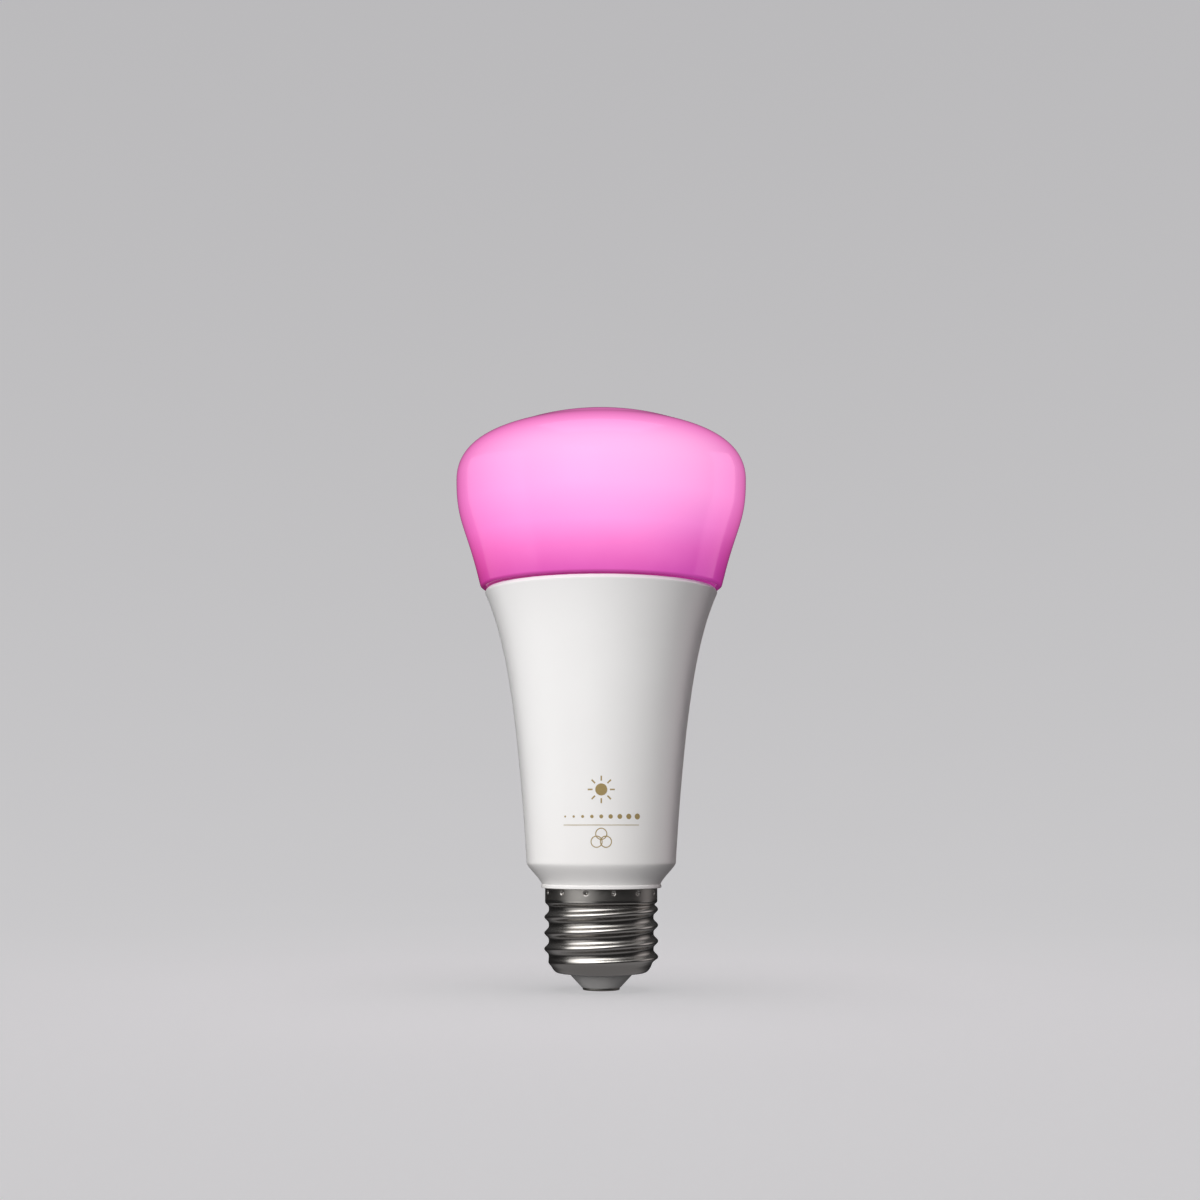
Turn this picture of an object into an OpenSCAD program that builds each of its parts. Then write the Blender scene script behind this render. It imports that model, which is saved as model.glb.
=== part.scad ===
// Smart light bulb: an opal globe on a flared white housing with a 27 mm Edison screw cap.
// Inside it are the LED board, the heat spreader, the mains driver and the radio board.
// Dimensions are in millimetres. The origin is the centre of the flat end of the centre
// contact, and the bulb's axis runs up +Z.

/* [Globe] */
// Widest diameter of the globe
globe_d = 69.2; // [67:0.2:70]
// Height of the widest circle above the centre contact
globe_widest_z = 119.5; // [118:0.5:121]
// Overall length, from the centre contact to the crown
overall_h = 136; // [135:0.5:138]
// Radius of the sphere that the crown is cut from
crown_sphere_r = 60; // [55:1:70]
// Diameter of the globe where it meets the housing
globe_rim_d = 57.2; // [57:0.1:57.6]
// Wall of the moulded globe
globe_wall = 1.2; // [1:0.1:1.4]

/* [Housing] */
// Height of the seam between the globe and the housing
seam_z = 93.5; // [93.3:0.1:93.7]
// Diameter of the waist, where the flare starts
waist_d = 34.8; // [34.6:0.1:35]
// Height of the waist
waist_z = 29; // [28.5:0.1:29.2]
// Straight, square and sixth-power shares of the flare's growth in radius
flare = [3.9, 3.6, 3.2]; // [3:0.1:4]
// Wall of the housing
housing_wall = 1.8; // [1.6:0.1:1.8]
// Diameter of the small lip at the top of the screw shell
lip_d = 28; // [27.6:0.1:28.4]

/* [Screw cap] */
// Crest diameter of the rolled thread
crest_d = 26.4; // [26.1:0.05:26.4]
// Root diameter of the rolled thread
root_d = 24.3; // [24.2:0.05:24.3]
// Pitch of the thread: seven turns to the inch
pitch = 3.629; // [3.6:0.001:3.65]
// Diameter of the smooth collar above the thread
collar_d = 26.1; // [26:0.05:26.2]
// Thickness of the shell's sheet metal
shell_wall = 0.35; // [0.3:0.05:0.35]
// Punched dimples that lock the shell to the neck
crimps = 13; // [12:1:14]
// Diameter of the flat end of the centre contact
contact_d = 8.6; // [8:0.1:8.8]

/* [Light engine] */
// Diameter of the LED board
led_board_d = 46.8; // [46:0.2:47]
// White LEDs on the outer ring, warm and cool by turns
white_leds = 20; // [12:2:20]
// Coloured LEDs on the inner ring: red, green and blue by turns
colour_leds = 12; // [6:3:12]

/* [Driver] */
// Width of the driver board between the guide rails
driver_w = 26.8; // [26:0.2:27]
// Thickness of the driver board
driver_t = 1.2; // [1:0.1:1.2]
// Diameter of the two electrolytic capacitors
capacitor_d = 10; // [8:0.5:10]

/* [Hidden] */

eps = 0.1;
gap = 0.1;
$fn = 96;

// Heights, from the cap upwards
shell_floor_z = 3.9;
insulator_foot_z = 0.6;
insulator_top_z = 6.6;
neck_foot_z = 9.5;
thread_top_z = 19.2;
lip_z = 23.3;
liner_floor_z = 31;
board_foot_z = 28;
board_top_z = 84;
plate_z = 89;
plate_t = 1.2;
pad_z = plate_z + plate_t;
pad_t = 0.4;
led_board_z = pad_z + pad_t;
led_board_t = 1.6;
sheet_z = led_board_z + led_board_t;
sheet_t = 0.2;

// Radii of the joint between the globe, the spreader's plate and the housing's rim
rim_bore_r = 25.2;
spigot_r = rim_bore_r - gap;
spigot_in_r = spigot_r - 1.2;
spigot_foot_z = pad_z + 0.8;
neck_bore_r = 10.2;
neck_r = 11.5;
crimp_seat_r = collar_d / 2 - shell_wall - gap;
crimp_z = 22.4;
crimp_turn = 5.4;

// Rings on the LED board
white_ring_r = 20;
colour_ring_r = 11.5;
screw_ring_r = 16;
screw_angles = [30, 150, 270];

// Pins from the driver board up through the LED board, in front of the driver board
link_xs = [-5, -2.5, 0, 2.5, 5];
link_y = -1.9;
link_foot_z = 78;
pin_w = 0.64;

// Radio board, behind the driver board
radio_y = 4.5;
radio_w = 15;
radio_t = 1;
radio_foot_z = 78;
radio_h = 26;

// Transformer, behind the driver board
transformer_y = 7;
transformer_z = 62;
bobbin_tube = [5.6, 6.8];
flange_z = [3.1, 10.1];
flange_t = 0.8;

// Routes of the two leads in the neck
live_route = [[6, 1.3, 32], [6, 1.5, 29], [4, 1.2, 22], [1, 0, 14], [0, 0, 10], [0, 0, 7.4]];
neutral_route = [[-6, 1.3, 32], [-6, 1.8, 29], [-4, 4, 22], [0, 7.6, 16], [0, 8.6, 12.8],
    [0, 10.2, 12.1], [0, 12.2, 12.1]];

function ramp(a, b, x) = let (t = max(0, min(1, (x - a) / (b - a)))) t * t * (3 - 2 * t);

function bezier(a, b, c, d, t) =
    pow(1 - t, 3) * a + 3 * pow(1 - t, 2) * t * b + 3 * (1 - t) * t * t * c + pow(t, 3) * d;

function bezier_line(a, b, c, d, steps) = [for (i = [0 : steps]) bezier(a, b, c, d, i / steps)];

// Radius of the housing's outer face at height z
function body_r(z) =
    let (u = (z - waist_z) / (seam_z - waist_z))
    waist_d / 2 + flare[0] * u + flare[1] * u * u + flare[2] * pow(u, 6);

function body_line(z0, z1, inset, steps = 24) =
    [for (i = [0 : steps]) let (z = z0 + (z1 - z0) * i / steps) [body_r(z) - inset, z]];

// Outline of the globe from height z0 to the crown, moved in by w
function globe_line(w, z0) =
    let (rim = globe_rim_d / 2 - w,
         wide = globe_d / 2 - w,
         ball = crown_sphere_r - w,
         top = overall_h - w,
         edge_a = 21,
         edge = [ball * sin(edge_a), top - ball * (1 - cos(edge_a))])
    concat(
        bezier_line([rim, z0], [rim + 3.5, z0 + 15], [wide, globe_widest_z - 10.7],
            [wide, globe_widest_z], 24),
        [for (p = bezier_line([wide, globe_widest_z], [wide, globe_widest_z + 8.9],
            edge + 3.8 * [cos(edge_a), -sin(edge_a)], edge, 20)) if (p[1] > globe_widest_z) p],
        [for (i = [1 : 12]) let (a = edge_a * (1 - i / 12))
            [ball * sin(a), top - ball * (1 - cos(a))]]
    );

function reversed(line) = [for (i = [len(line) - 1 : -1 : 0]) line[i]];

// Point on a smooth curve through the route's points, between point i and the next
function route_at(route, i, t) =
    let (n = len(route),
         a = route[max(0, i - 1)],
         b = route[i],
         c = route[min(n - 1, i + 1)],
         d = route[min(n - 1, i + 2)])
    0.5 * (2 * b + (c - a) * t + (2 * a - 5 * b + 4 * c - d) * t * t
        + (3 * b - a - 3 * c + d) * t * t * t);

module tube(route, r, sides = 8, steps = 5) {
    centres = concat(
        [for (i = [0 : len(route) - 2]) for (k = [0 : steps - 1]) route_at(route, i, k / steps)],
        [route[len(route) - 1]]);
    rings = len(centres);
    points = [for (i = [0 : rings - 1])
        let (along = centres[min(rings - 1, i + 1)] - centres[max(0, i - 1)],
             side = cross(along, [1, 0, 0]),
             u = side / norm(side),
             w = cross(u, along),
             v = w / norm(w))
        for (k = [0 : sides - 1])
            centres[i] + r * (cos(360 * k / sides) * u + sin(360 * k / sides) * v)];
    faces = concat(
        [[for (k = [0 : sides - 1]) k]],
        [for (i = [0 : rings - 2]) for (k = [0 : sides - 1])
            let (m = (k + 1) % sides)
            [i * sides + k, (i + 1) * sides + k, (i + 1) * sides + m, i * sides + m]],
        [[for (k = [sides - 1 : -1 : 0]) (rings - 1) * sides + k]]);
    polyhedron(points, faces);
}

// ---- Globe and housing ----

module globe() {
    flange_top_z = seam_z + globe_wall;
    line = globe_line(0, seam_z);
    foot_r = globe_rim_d / 2;
    outer = concat(
        [[foot_r - 0.9, seam_z], [foot_r - 0.3, seam_z + 0.3]],
        [for (p = line) if (p[1] > seam_z + 0.7) p]);
    inner = globe_line(globe_wall, flange_top_z);
    color([0.97, 0.72, 0.93])
        rotate_extrude()
            polygon(concat(
                outer,
                reversed(inner),
                [
                    [spigot_in_r, flange_top_z],
                    [spigot_in_r, spigot_foot_z],
                    [spigot_r, spigot_foot_z],
                    [spigot_r, seam_z]
                ]));
}

// Bead of silicone that bonds the globe's spigot to the spreader's plate
module globe_seal() {
    color([0.92, 0.92, 0.9])
        ring(spigot_r, spigot_in_r, pad_z, spigot_foot_z - pad_z);
}

module ring(r_out, r_in, z, h) {
    translate([0, 0, z])
        difference() {
            cylinder(r = r_out, h = h);
            translate([0, 0, -eps])
                cylinder(r = r_in, h = h + 2 * eps);
        }
}

module housing() {
    bevel_z = seam_z - 1.1;
    rim_z = seam_z - 0.3;
    color([0.95, 0.95, 0.94])
        difference() {
            rotate_extrude()
                polygon(concat(
                    [
                        [lip_d / 2, lip_z],
                        [lip_d / 2, lip_z + 0.9],
                        [lip_d / 2 - 0.2, lip_z + 1.05]
                    ],
                    bezier_line([lip_d / 2 - 0.1, lip_z + 1.2], [lip_d / 2 + 0.6, waist_z - 3.1],
                        [waist_d / 2 - 0.3, waist_z - 1.1], [waist_d / 2, waist_z], 12),
                    body_line(waist_z + 0.5, bevel_z, 0, 30),
                    [
                        [body_r(bevel_z) - 0.5, rim_z],
                        [rim_bore_r, rim_z],
                        [rim_bore_r, plate_z]
                    ],
                    body_line(plate_z, liner_floor_z, housing_wall, 28),
                    [
                        [neck_bore_r, liner_floor_z],
                        [neck_bore_r, neck_foot_z],
                        [neck_r, neck_foot_z],
                        [neck_r, 19.6],
                        [crimp_seat_r, 20.4],
                        [crimp_seat_r, lip_z]
                    ]));
            crimp_marks(crimp_z, 1.05);
            // Notch where the neutral lead passes out to the shell
            translate([-0.8, neck_bore_r - 1, neck_foot_z - eps])
                cube([1.6, 3, 3.6]);
        }
}

// Shallow round pockets under the shell's dimples
module crimp_marks(z, r) {
    for (i = [0 : crimps - 1])
        rotate([0, 0, crimp_turn + 360 * i / crimps])
            translate([crimp_seat_r + 0.3, 0, z])
                sphere(r = r, $fn = 24);
}

// ---- Screw cap ----

// Radius of the shell's outer face at height z and angle a: the shoulder, the rolled
// thread, which fades at both ends, and the collar with its dimples
function shell_r(base, z, a) =
    let (turn = 360 * (z - 18.4) / pitch - a,
         crest = pow((1 + cos(turn)) / 2, 1.2),
         body = base + (collar_d / 2 - base) * ramp(thread_top_z, thread_top_z + 1, z),
         share = ramp(5, 7.6, z) * (1 - ramp(thread_top_z - 0.2, thread_top_z + 1, z)),
         step = 360 / crimps,
         off = abs(a - crimp_turn - step * round((a - crimp_turn) / step)),
         dimple = abs(z - crimp_z) < 0.1 && off < 1 ? 0.55 : 0)
    body + (crest_d - root_d) / 2 * crest * share - dimple;

module screw_shell() {
    around = 5 * crimps;
    angles = [for (k = [0 : around - 1]) crimp_turn + 360 * k / around];
    shoulder = bezier_line([9.8, shell_floor_z], [11, shell_floor_z + 0.05],
        [11.6, 5.2], [root_d / 2, 7.2], 5);
    thread_rows = 28;
    rows = concat(
        [[7.9, shell_floor_z]],
        shoulder,
        [for (i = [1 : thread_rows]) [root_d / 2, 7.2 + 13.2 * i / thread_rows]],
        [for (z = [21.4, crimp_z - 0.4, crimp_z, crimp_z + 0.4, lip_z]) [root_d / 2, z]]);
    n = len(rows);
    floor_rows = 2;
    outer = [for (row = rows) for (a = angles)
        let (r = shell_r(row[0], row[1], a))
        [r * cos(a), r * sin(a), row[1]]];
    inner = [for (i = [0 : n - 1]) for (a = angles)
        let (row = rows[i],
             lift = shell_wall * (i < floor_rows ? 1 : max(0, 1 - (row[1] - shell_floor_z) / 1.5)),
             r = shell_r(row[0], row[1], a) - (i == 0 ? 0 : shell_wall))
        [r * cos(a), r * sin(a), row[1] + lift]];
    wall = n * around;
    outer_faces = [for (i = [0 : n - 2]) for (k = [0 : around - 1])
        let (m = (k + 1) % around)
        each [[i * around + k, (i + 1) * around + k, (i + 1) * around + m],
              [i * around + k, (i + 1) * around + m, i * around + m]]];
    inner_faces = [for (f = outer_faces) [wall + f[0], wall + f[2], wall + f[1]]];
    foot_faces = [for (k = [0 : around - 1])
        let (m = (k + 1) % around)
        each [[k, m, wall + m], [k, wall + m, wall + k]]];
    top = (n - 1) * around;
    top_faces = [for (k = [0 : around - 1])
        let (m = (k + 1) % around)
        each [[top + k, wall + top + k, wall + top + m], [top + k, wall + top + m, top + m]]];
    color([0.76, 0.74, 0.7])
        polyhedron(concat(outer, inner), concat(outer_faces, inner_faces, foot_faces, top_faces),
            convexity = 8);
}

module cap_insulator() {
    foot_r = contact_d / 2 + 0.2;
    shank_bore_r = 1.7;
    floor_top_z = shell_floor_z + shell_wall;
    color([0.5, 0.49, 0.48])
        rotate_extrude()
            polygon([
                [shank_bore_r, insulator_foot_z],
                [foot_r, insulator_foot_z],
                [7.5, shell_floor_z - 0.1],
                [7.7, shell_floor_z],
                [7.7, floor_top_z],
                [9.1, floor_top_z],
                [10.2, insulator_top_z],
                [10.2, neck_foot_z],
                [9.2, neck_foot_z],
                [9.2, insulator_top_z],
                [shank_bore_r, insulator_top_z]
            ]);
}

// Riveted contact: a flat disc, a shank through the insulator and a spread head
module centre_contact() {
    color([0.8, 0.78, 0.74])
        rotate_extrude()
            polygon([
                [0, 0],
                [contact_d / 2 - 0.25, 0],
                [contact_d / 2, 0.2],
                [contact_d / 2, insulator_foot_z],
                [1.6, insulator_foot_z],
                [1.6, insulator_top_z],
                [2.6, insulator_top_z],
                [2.4, insulator_top_z + 0.6],
                [0, insulator_top_z + 0.8]
            ]);
}

// ---- Light engine ----

module at_screws() {
    for (a = screw_angles)
        rotate([0, 0, a])
            translate([screw_ring_r, 0, 0])
                children();
}

// Opening in the plate and the pad for the link pins and the radio board
module service_opening(z, h) {
    translate([-8.3, -3.4, z - eps])
        cube([16.6, 9.8, h + 2 * eps]);
}

module heat_spreader() {
    skirt_foot_z = 44;
    boss_h = 3;
    inset = housing_wall + gap;
    wall = 1.2;
    color([0.78, 0.79, 0.8])
        difference() {
            union() {
                translate([0, 0, plate_z])
                    cylinder(r = spigot_r, h = plate_t);
                rotate_extrude()
                    polygon(concat(
                        body_line(skirt_foot_z, plate_z, inset),
                        [[0, plate_z], [0, plate_z - 0.2]],
                        body_line(plate_z - 0.2, skirt_foot_z, inset + wall)));
                at_screws()
                    translate([0, 0, plate_z - boss_h])
                        cylinder(r = 2.6, h = boss_h);
            }
            service_opening(plate_z - 0.3, plate_t + 0.3);
            at_screws()
                translate([0, 0, plate_z - boss_h - eps])
                    cylinder(r = 1.25, h = boss_h + plate_t + 2 * eps, $fn = 32);
        }
}

module thermal_pad() {
    color([0.62, 0.7, 0.78])
        difference() {
            translate([0, 0, pad_z])
                cylinder(r = led_board_d / 2 - 0.9, h = pad_t);
            service_opening(pad_z, pad_t);
            at_screws()
                translate([0, 0, pad_z - eps])
                    cylinder(r = 1.7, h = pad_t + 2 * eps, $fn = 32);
        }
}

// Slots through the LED board for the link pins and the radio board
module board_slots(z, h) {
    translate([-radio_w / 2 - 0.2, radio_y - 0.2, z - eps])
        cube([radio_w + 0.4, radio_t + 0.4, h + 2 * eps]);
    translate([-6.2, link_y - 0.6, z - eps])
        cube([12.4, 1.2, h + 2 * eps]);
}

module led_board() {
    color([0.9, 0.92, 0.9])
        difference() {
            translate([0, 0, led_board_z])
                cylinder(r = led_board_d / 2, h = led_board_t);
            board_slots(led_board_z, led_board_t);
            at_screws()
                translate([0, 0, led_board_z - eps])
                    cylinder(r = 1.4, h = led_board_t + 2 * eps, $fn = 32);
        }
}

// White film over the board, with a window at each LED
module reflector_sheet() {
    window = 3.4;
    color([0.98, 0.98, 0.97])
        difference() {
            translate([0, 0, sheet_z])
                cylinder(r = led_board_d / 2 - 0.2, h = sheet_t);
            board_slots(sheet_z, sheet_t);
            at_screws()
                translate([0, 0, sheet_z - eps])
                    cylinder(r = 2.6, h = sheet_t + 2 * eps, $fn = 32);
            for (i = [0 : white_leds - 1])
                at_ring(white_ring_r, 360 * i / white_leds)
                    translate([-window / 2, -window / 2, sheet_z - eps])
                        cube([window, window, sheet_t + 2 * eps]);
            for (i = [0 : colour_leds - 1])
                at_ring(colour_ring_r, 360 * i / colour_leds)
                    translate([-window / 2, -window / 2, sheet_z - eps])
                        cube([window, window, sheet_t + 2 * eps]);
        }
}

module board_screws() {
    head_r = 2.3;
    head_h = 1.3;
    color([0.7, 0.7, 0.72])
        at_screws()
            difference() {
                union() {
                    translate([0, 0, sheet_z])
                        cylinder(r = head_r, h = head_h, $fn = 32);
                    translate([0, 0, plate_z - 2.6])
                        cylinder(r = 1.2, h = sheet_z - plate_z + 2.6 + eps, $fn = 32);
                }
                for (turn = [0, 90])
                    rotate([0, 0, turn])
                        translate([-1.4, -0.25, sheet_z + head_h - 0.6])
                            cube([2.8, 0.5, 1]);
            }
}

module at_ring(r, a) {
    rotate([0, 0, a])
        translate([r, 0, 0])
            children();
}

// Surface-mount LED: a square package with a round lens
module led() {
    w = 3;
    h = 0.6;
    union() {
        translate([-w / 2, -w / 2, sheet_z])
            cube([w, w, h]);
        translate([0, 0, sheet_z + h - eps])
            cylinder(r = 1.25, h = 0.25, $fn = 32);
    }
}

// Every so many places on a ring, from place first
module led_row(r, places, first, every) {
    for (i = [first : every : places - 1])
        at_ring(r, 360 * i / places)
            led();
}

module warm_white_leds() {
    color([1, 0.86, 0.55])
        led_row(white_ring_r, white_leds, 0, 2);
}

module cool_white_leds() {
    color([0.96, 0.95, 0.6])
        led_row(white_ring_r, white_leds, 1, 2);
}

module red_leds() {
    color([0.9, 0.2, 0.15])
        led_row(colour_ring_r, colour_leds, 0, 3);
}

module green_leds() {
    color([0.3, 0.8, 0.3])
        led_row(colour_ring_r, colour_leds, 1, 3);
}

module blue_leds() {
    color([0.2, 0.35, 0.9])
        led_row(colour_ring_r, colour_leds, 2, 3);
}

// ---- Driver ----

// Insulating cup between the driver and the heat spreader, with a pair of guide rails
// down each side for the board's edges
module driver_liner() {
    inset = housing_wall + 1.2 + 2 * gap;
    wall = 1;
    top_z = 86;
    rail_z = 42;
    rail_w = 8;
    rail_t = 1.2;
    floor_hole_r = 9.6;
    color([0.93, 0.93, 0.9]) {
        rotate_extrude()
            polygon(concat(
                body_line(liner_floor_z, top_z, inset),
                body_line(top_z, liner_floor_z + wall, inset + wall),
                [[floor_hole_r, liner_floor_z + wall], [floor_hole_r, liner_floor_z]]));
        intersection() {
            for (x = [-1, 1], y = [-1, 1])
                translate([x * (driver_w / 2 + 2.8), y * (driver_t / 2 + gap + rail_t / 2), rail_z])
                    translate([-rail_w / 2, -rail_t / 2, 0])
                        cube([rail_w, rail_t, top_z - rail_z]);
            rotate_extrude()
                polygon(concat(
                    [[0, rail_z]],
                    body_line(rail_z, top_z, inset + wall / 2),
                    [[0, top_z]]));
        }
    }
}

module driver_board() {
    tail_w = 18;
    color([0.15, 0.42, 0.25])
        translate([0, driver_t / 2, 0])
            rotate([90, 0, 0])
                linear_extrude(driver_t)
                    polygon([
                        [-tail_w / 2, board_foot_z],
                        [tail_w / 2, board_foot_z],
                        [tail_w / 2, 38],
                        [driver_w / 2, 42.5],
                        [driver_w / 2, board_top_z],
                        [-driver_w / 2, board_top_z],
                        [-driver_w / 2, 42.5],
                        [-tail_w / 2, 38]
                    ]);
}

// Block that holds the link pins on the driver board's front face
module link_header() {
    h = 2.5;
    color([0.12, 0.12, 0.13])
        difference() {
            translate([-6.5, -driver_t / 2 - h, board_top_z - 3])
                cube([13, h, h]);
            for (x = link_xs)
                translate([x - pin_w / 2, link_y - pin_w / 2, board_top_z - 3 - eps])
                    cube([pin_w, pin_w, h + 2 * eps]);
        }
}

module link_pins() {
    color([0.85, 0.72, 0.4])
        for (x = link_xs)
            translate([x - pin_w / 2, link_y - pin_w / 2, link_foot_z])
                cube([pin_w, pin_w, sheet_z + 1.5 - link_foot_z]);
}

// Sleeved electrolytic capacitor standing along the board, with its vent end up
module capacitor(x, side, z, h) {
    r = capacitor_d / 2;
    translate([x, side * (driver_t / 2 + gap + r), z]) {
        difference() {
            cylinder(r = r, h = h, $fn = 48);
            translate([0, 0, h - 0.3])
                cylinder(r = r - 0.8, h = 1, $fn = 48);
            translate([0, 0, 1.4])
                difference() {
                    cylinder(r = r + 1, h = 0.8, $fn = 48);
                    translate([0, 0, -eps])
                        cylinder(r = r - 0.3, h = 1, $fn = 48);
                }
        }
        for (dx = [-1, 1])
            translate([1.6 * dx, 0, -2.5])
                cylinder(r = 0.3, h = 2.6, $fn = 16);
    }
}

module input_capacitor() {
    color([0.12, 0.13, 0.2])
        capacitor(-5.5, -1, 45, 18);
}

module output_capacitor() {
    color([0.1, 0.3, 0.25])
        capacitor(-6.2, 1, 45, 15);
}

module film_capacitor() {
    color([0.85, 0.75, 0.25]) {
        translate([1, driver_t / 2 + 0.4, 43])
            cube([9.5, 5.5, 11]);
        for (z = [45, 52])
            translate([5.7, 0, z])
                rotate([-90, 0, 0])
                    translate([0, 0, driver_t / 2])
                        cylinder(r = 0.35, h = 0.5, $fn = 16);
    }
}

module surge_varistor() {
    color([0.2, 0.35, 0.7]) {
        translate([-3, -driver_t / 2 - 3.6, 35.5])
            rotate([-90, 0, 0])
                cylinder(r = 3.5, h = 3.2, $fn = 48);
        for (dx = [-2, 2])
            translate([dx - 3, -driver_t / 2 - 0.5, 35.5])
                rotate([-90, 0, 0])
                    cylinder(r = 0.35, h = 0.5, $fn = 16);
    }
}

// Axial resistor in the live line: a barrel with its wires bent into the board
module fusible_resistor() {
    y = 2.9;
    x = 3.5;
    color([0.35, 0.55, 0.45]) {
        translate([x, y, 33.5])
            cylinder(r = 2, h = 7.5, $fn = 32);
        translate([x, y, 32])
            cylinder(r = 0.35, h = 10.5, $fn = 16);
        for (z = [32.3, 42.2])
            translate([x, driver_t / 2, z])
                rotate([-90, 0, 0])
                    cylinder(r = 0.35, h = y - driver_t / 2, $fn = 16);
    }
}

// Drum core with its winding between two flanges
module filter_choke() {
    x = 6.8;
    y = -driver_t / 2 - gap - 4;
    color([0.75, 0.42, 0.2])
        translate([x, y, 43]) {
            cylinder(r = 4, h = 1.4, $fn = 48);
            translate([0, 0, 1.3])
                cylinder(r = 3.5, h = 6.4, $fn = 48);
            translate([0, 0, 7.6])
                cylinder(r = 4, h = 1.4, $fn = 48);
            translate([0, 4 + gap - 0.6, 0.7])
                rotate([-90, 0, 0])
                    cylinder(r = 0.3, h = 0.6, $fn = 16);
        }
}

// Flat package on the board's front face, with gull-wing legs along two edges
module package(x, z, w, h, t, legs, spacing) {
    body_gap = 0.15;
    translate([x - w / 2, -driver_t / 2 - t, z])
        cube([w, t - body_gap, h]);
    for (i = [0 : legs - 1], end = [0, 1])
        translate([x - spacing * (legs - 1) / 2 + spacing * i - 0.25,
            -driver_t / 2 - t / 2, z - 0.9 + end * (h + 0.8)])
            cube([0.5, t / 2, 1]);
}

module bridge_rectifier() {
    color([0.1, 0.1, 0.1])
        package(6, 56.5, 4.8, 4, 2.5, 2, 2.6);
}

module driver_chip() {
    color([0.12, 0.12, 0.13])
        package(-6.5, 68, 5, 4, 1.6, 4, 1.27);
}

module switching_transistor() {
    color([0.13, 0.13, 0.13])
        package(6, 65, 6.6, 6.2, 2.3, 3, 2.28);
}

module output_diode() {
    color([0.11, 0.11, 0.12])
        package(8.6, 75.5, 3.8, 4.6, 2.2, 1, 1);
}

// Two ferrite E halves that meet round the bobbin
module transformer_core() {
    w = 16;
    t = 5;
    h = 14;
    color([0.22, 0.22, 0.23])
        translate([0, transformer_y, transformer_z])
            difference() {
                translate([-w / 2, -t / 2, 0])
                    cube([w, t, h]);
                for (x = [-1, 1])
                    translate([x * 4 - 2, -t / 2 - eps, 3])
                        cube([4, t + 2 * eps, h - 6]);
            }
}

module transformer_bobbin() {
    color([0.13, 0.13, 0.14])
        translate([0, transformer_y, transformer_z])
            difference() {
                union() {
                    translate([-bobbin_tube[0] / 2, -bobbin_tube[1] / 2, flange_z[0]])
                        cube([bobbin_tube[0], bobbin_tube[1], flange_z[1] - flange_z[0] + flange_t]);
                    for (z = flange_z)
                        translate([-5.9, driver_t / 2 - transformer_y, z])
                            cube([11.8, transformer_y - driver_t / 2 + 6, flange_t]);
                }
                translate([-2.1, -2.6, flange_z[0] - eps])
                    cube([4.2, 5.2, flange_z[1] - flange_z[0] + flange_t + 2 * eps]);
            }
}

module transformer_winding() {
    w = 10.8;
    color([0.88, 0.78, 0.25])
        translate([0, transformer_y, transformer_z])
            difference() {
                translate([-w / 2, -w / 2, flange_z[0] + flange_t])
                    cube([w, w, flange_z[1] - flange_z[0] - flange_t]);
                translate([-bobbin_tube[0] / 2, -bobbin_tube[1] / 2, flange_z[0]])
                    cube([bobbin_tube[0], bobbin_tube[1], flange_z[1] - flange_z[0] + 1]);
            }
}

// ---- Radio ----

// Upright board behind the driver board. It rises through the LED board, so that the
// antenna at its upper end is clear of the metal.
module radio_board() {
    color([0.1, 0.3, 0.2])
        translate([-radio_w / 2, radio_y, radio_foot_z])
            cube([radio_w, radio_t, radio_h]);
}

module radio_shield() {
    color([0.75, 0.75, 0.76])
        translate([-5.5, radio_y + radio_t, 79])
            difference() {
                cube([11, 1.8, 9]);
                translate([0.2, -eps, 0.2])
                    cube([10.6, 1.6 + eps, 8.6]);
            }
}

module radio_header() {
    color([0.12, 0.12, 0.13])
        translate([-4, driver_t / 2, 79])
            cube([8, radio_y - driver_t / 2, 2.5]);
}

// Meandering copper track on the radio board's upper end
module antenna() {
    track = 0.8;
    turns = 4;
    step = 2.6;
    t = 0.1;
    color([0.8, 0.5, 0.25])
        translate([-turns * step / 2, radio_y + radio_t + t, 94])
            rotate([90, 0, 0])
                linear_extrude(t)
                    union() {
                        for (i = [0 : turns])
                            translate([i * step, 0])
                                square([track, 8]);
                        for (i = [0 : turns - 1])
                            translate([i * step, i % 2 == 0 ? 8 - track : 0])
                                square([step + track, track]);
                    }
}

// ---- Leads in the neck ----

module live_lead() {
    color([0.35, 0.2, 0.15])
        tube(live_route, 0.6);
}

module neutral_lead() {
    color([0.2, 0.35, 0.65])
        tube(neutral_route, 0.6);
}

globe();
globe_seal();
housing();
screw_shell();
cap_insulator();
centre_contact();
heat_spreader();
thermal_pad();
led_board();
reflector_sheet();
board_screws();
warm_white_leds();
cool_white_leds();
red_leds();
green_leds();
blue_leds();
driver_liner();
driver_board();
link_header();
link_pins();
input_capacitor();
output_capacitor();
film_capacitor();
surge_varistor();
fusible_resistor();
filter_choke();
bridge_rectifier();
driver_chip();
switching_transistor();
output_diode();
transformer_core();
transformer_bobbin();
transformer_winding();
radio_board();
radio_shield();
radio_header();
antenna();
live_lead();
neutral_lead();
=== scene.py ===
# %% [markdown]
# # A smart light bulb, built up piece by piece
# A bulb is a set of turned and moulded pieces on one upright axis: an opal globe, a white
# housing that flares up to meet it, and a screw cap. The measured model comes first and
# stays fixed. Everything that is made here takes its place and its size from it.

# %% Load the measured model
import math

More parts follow.
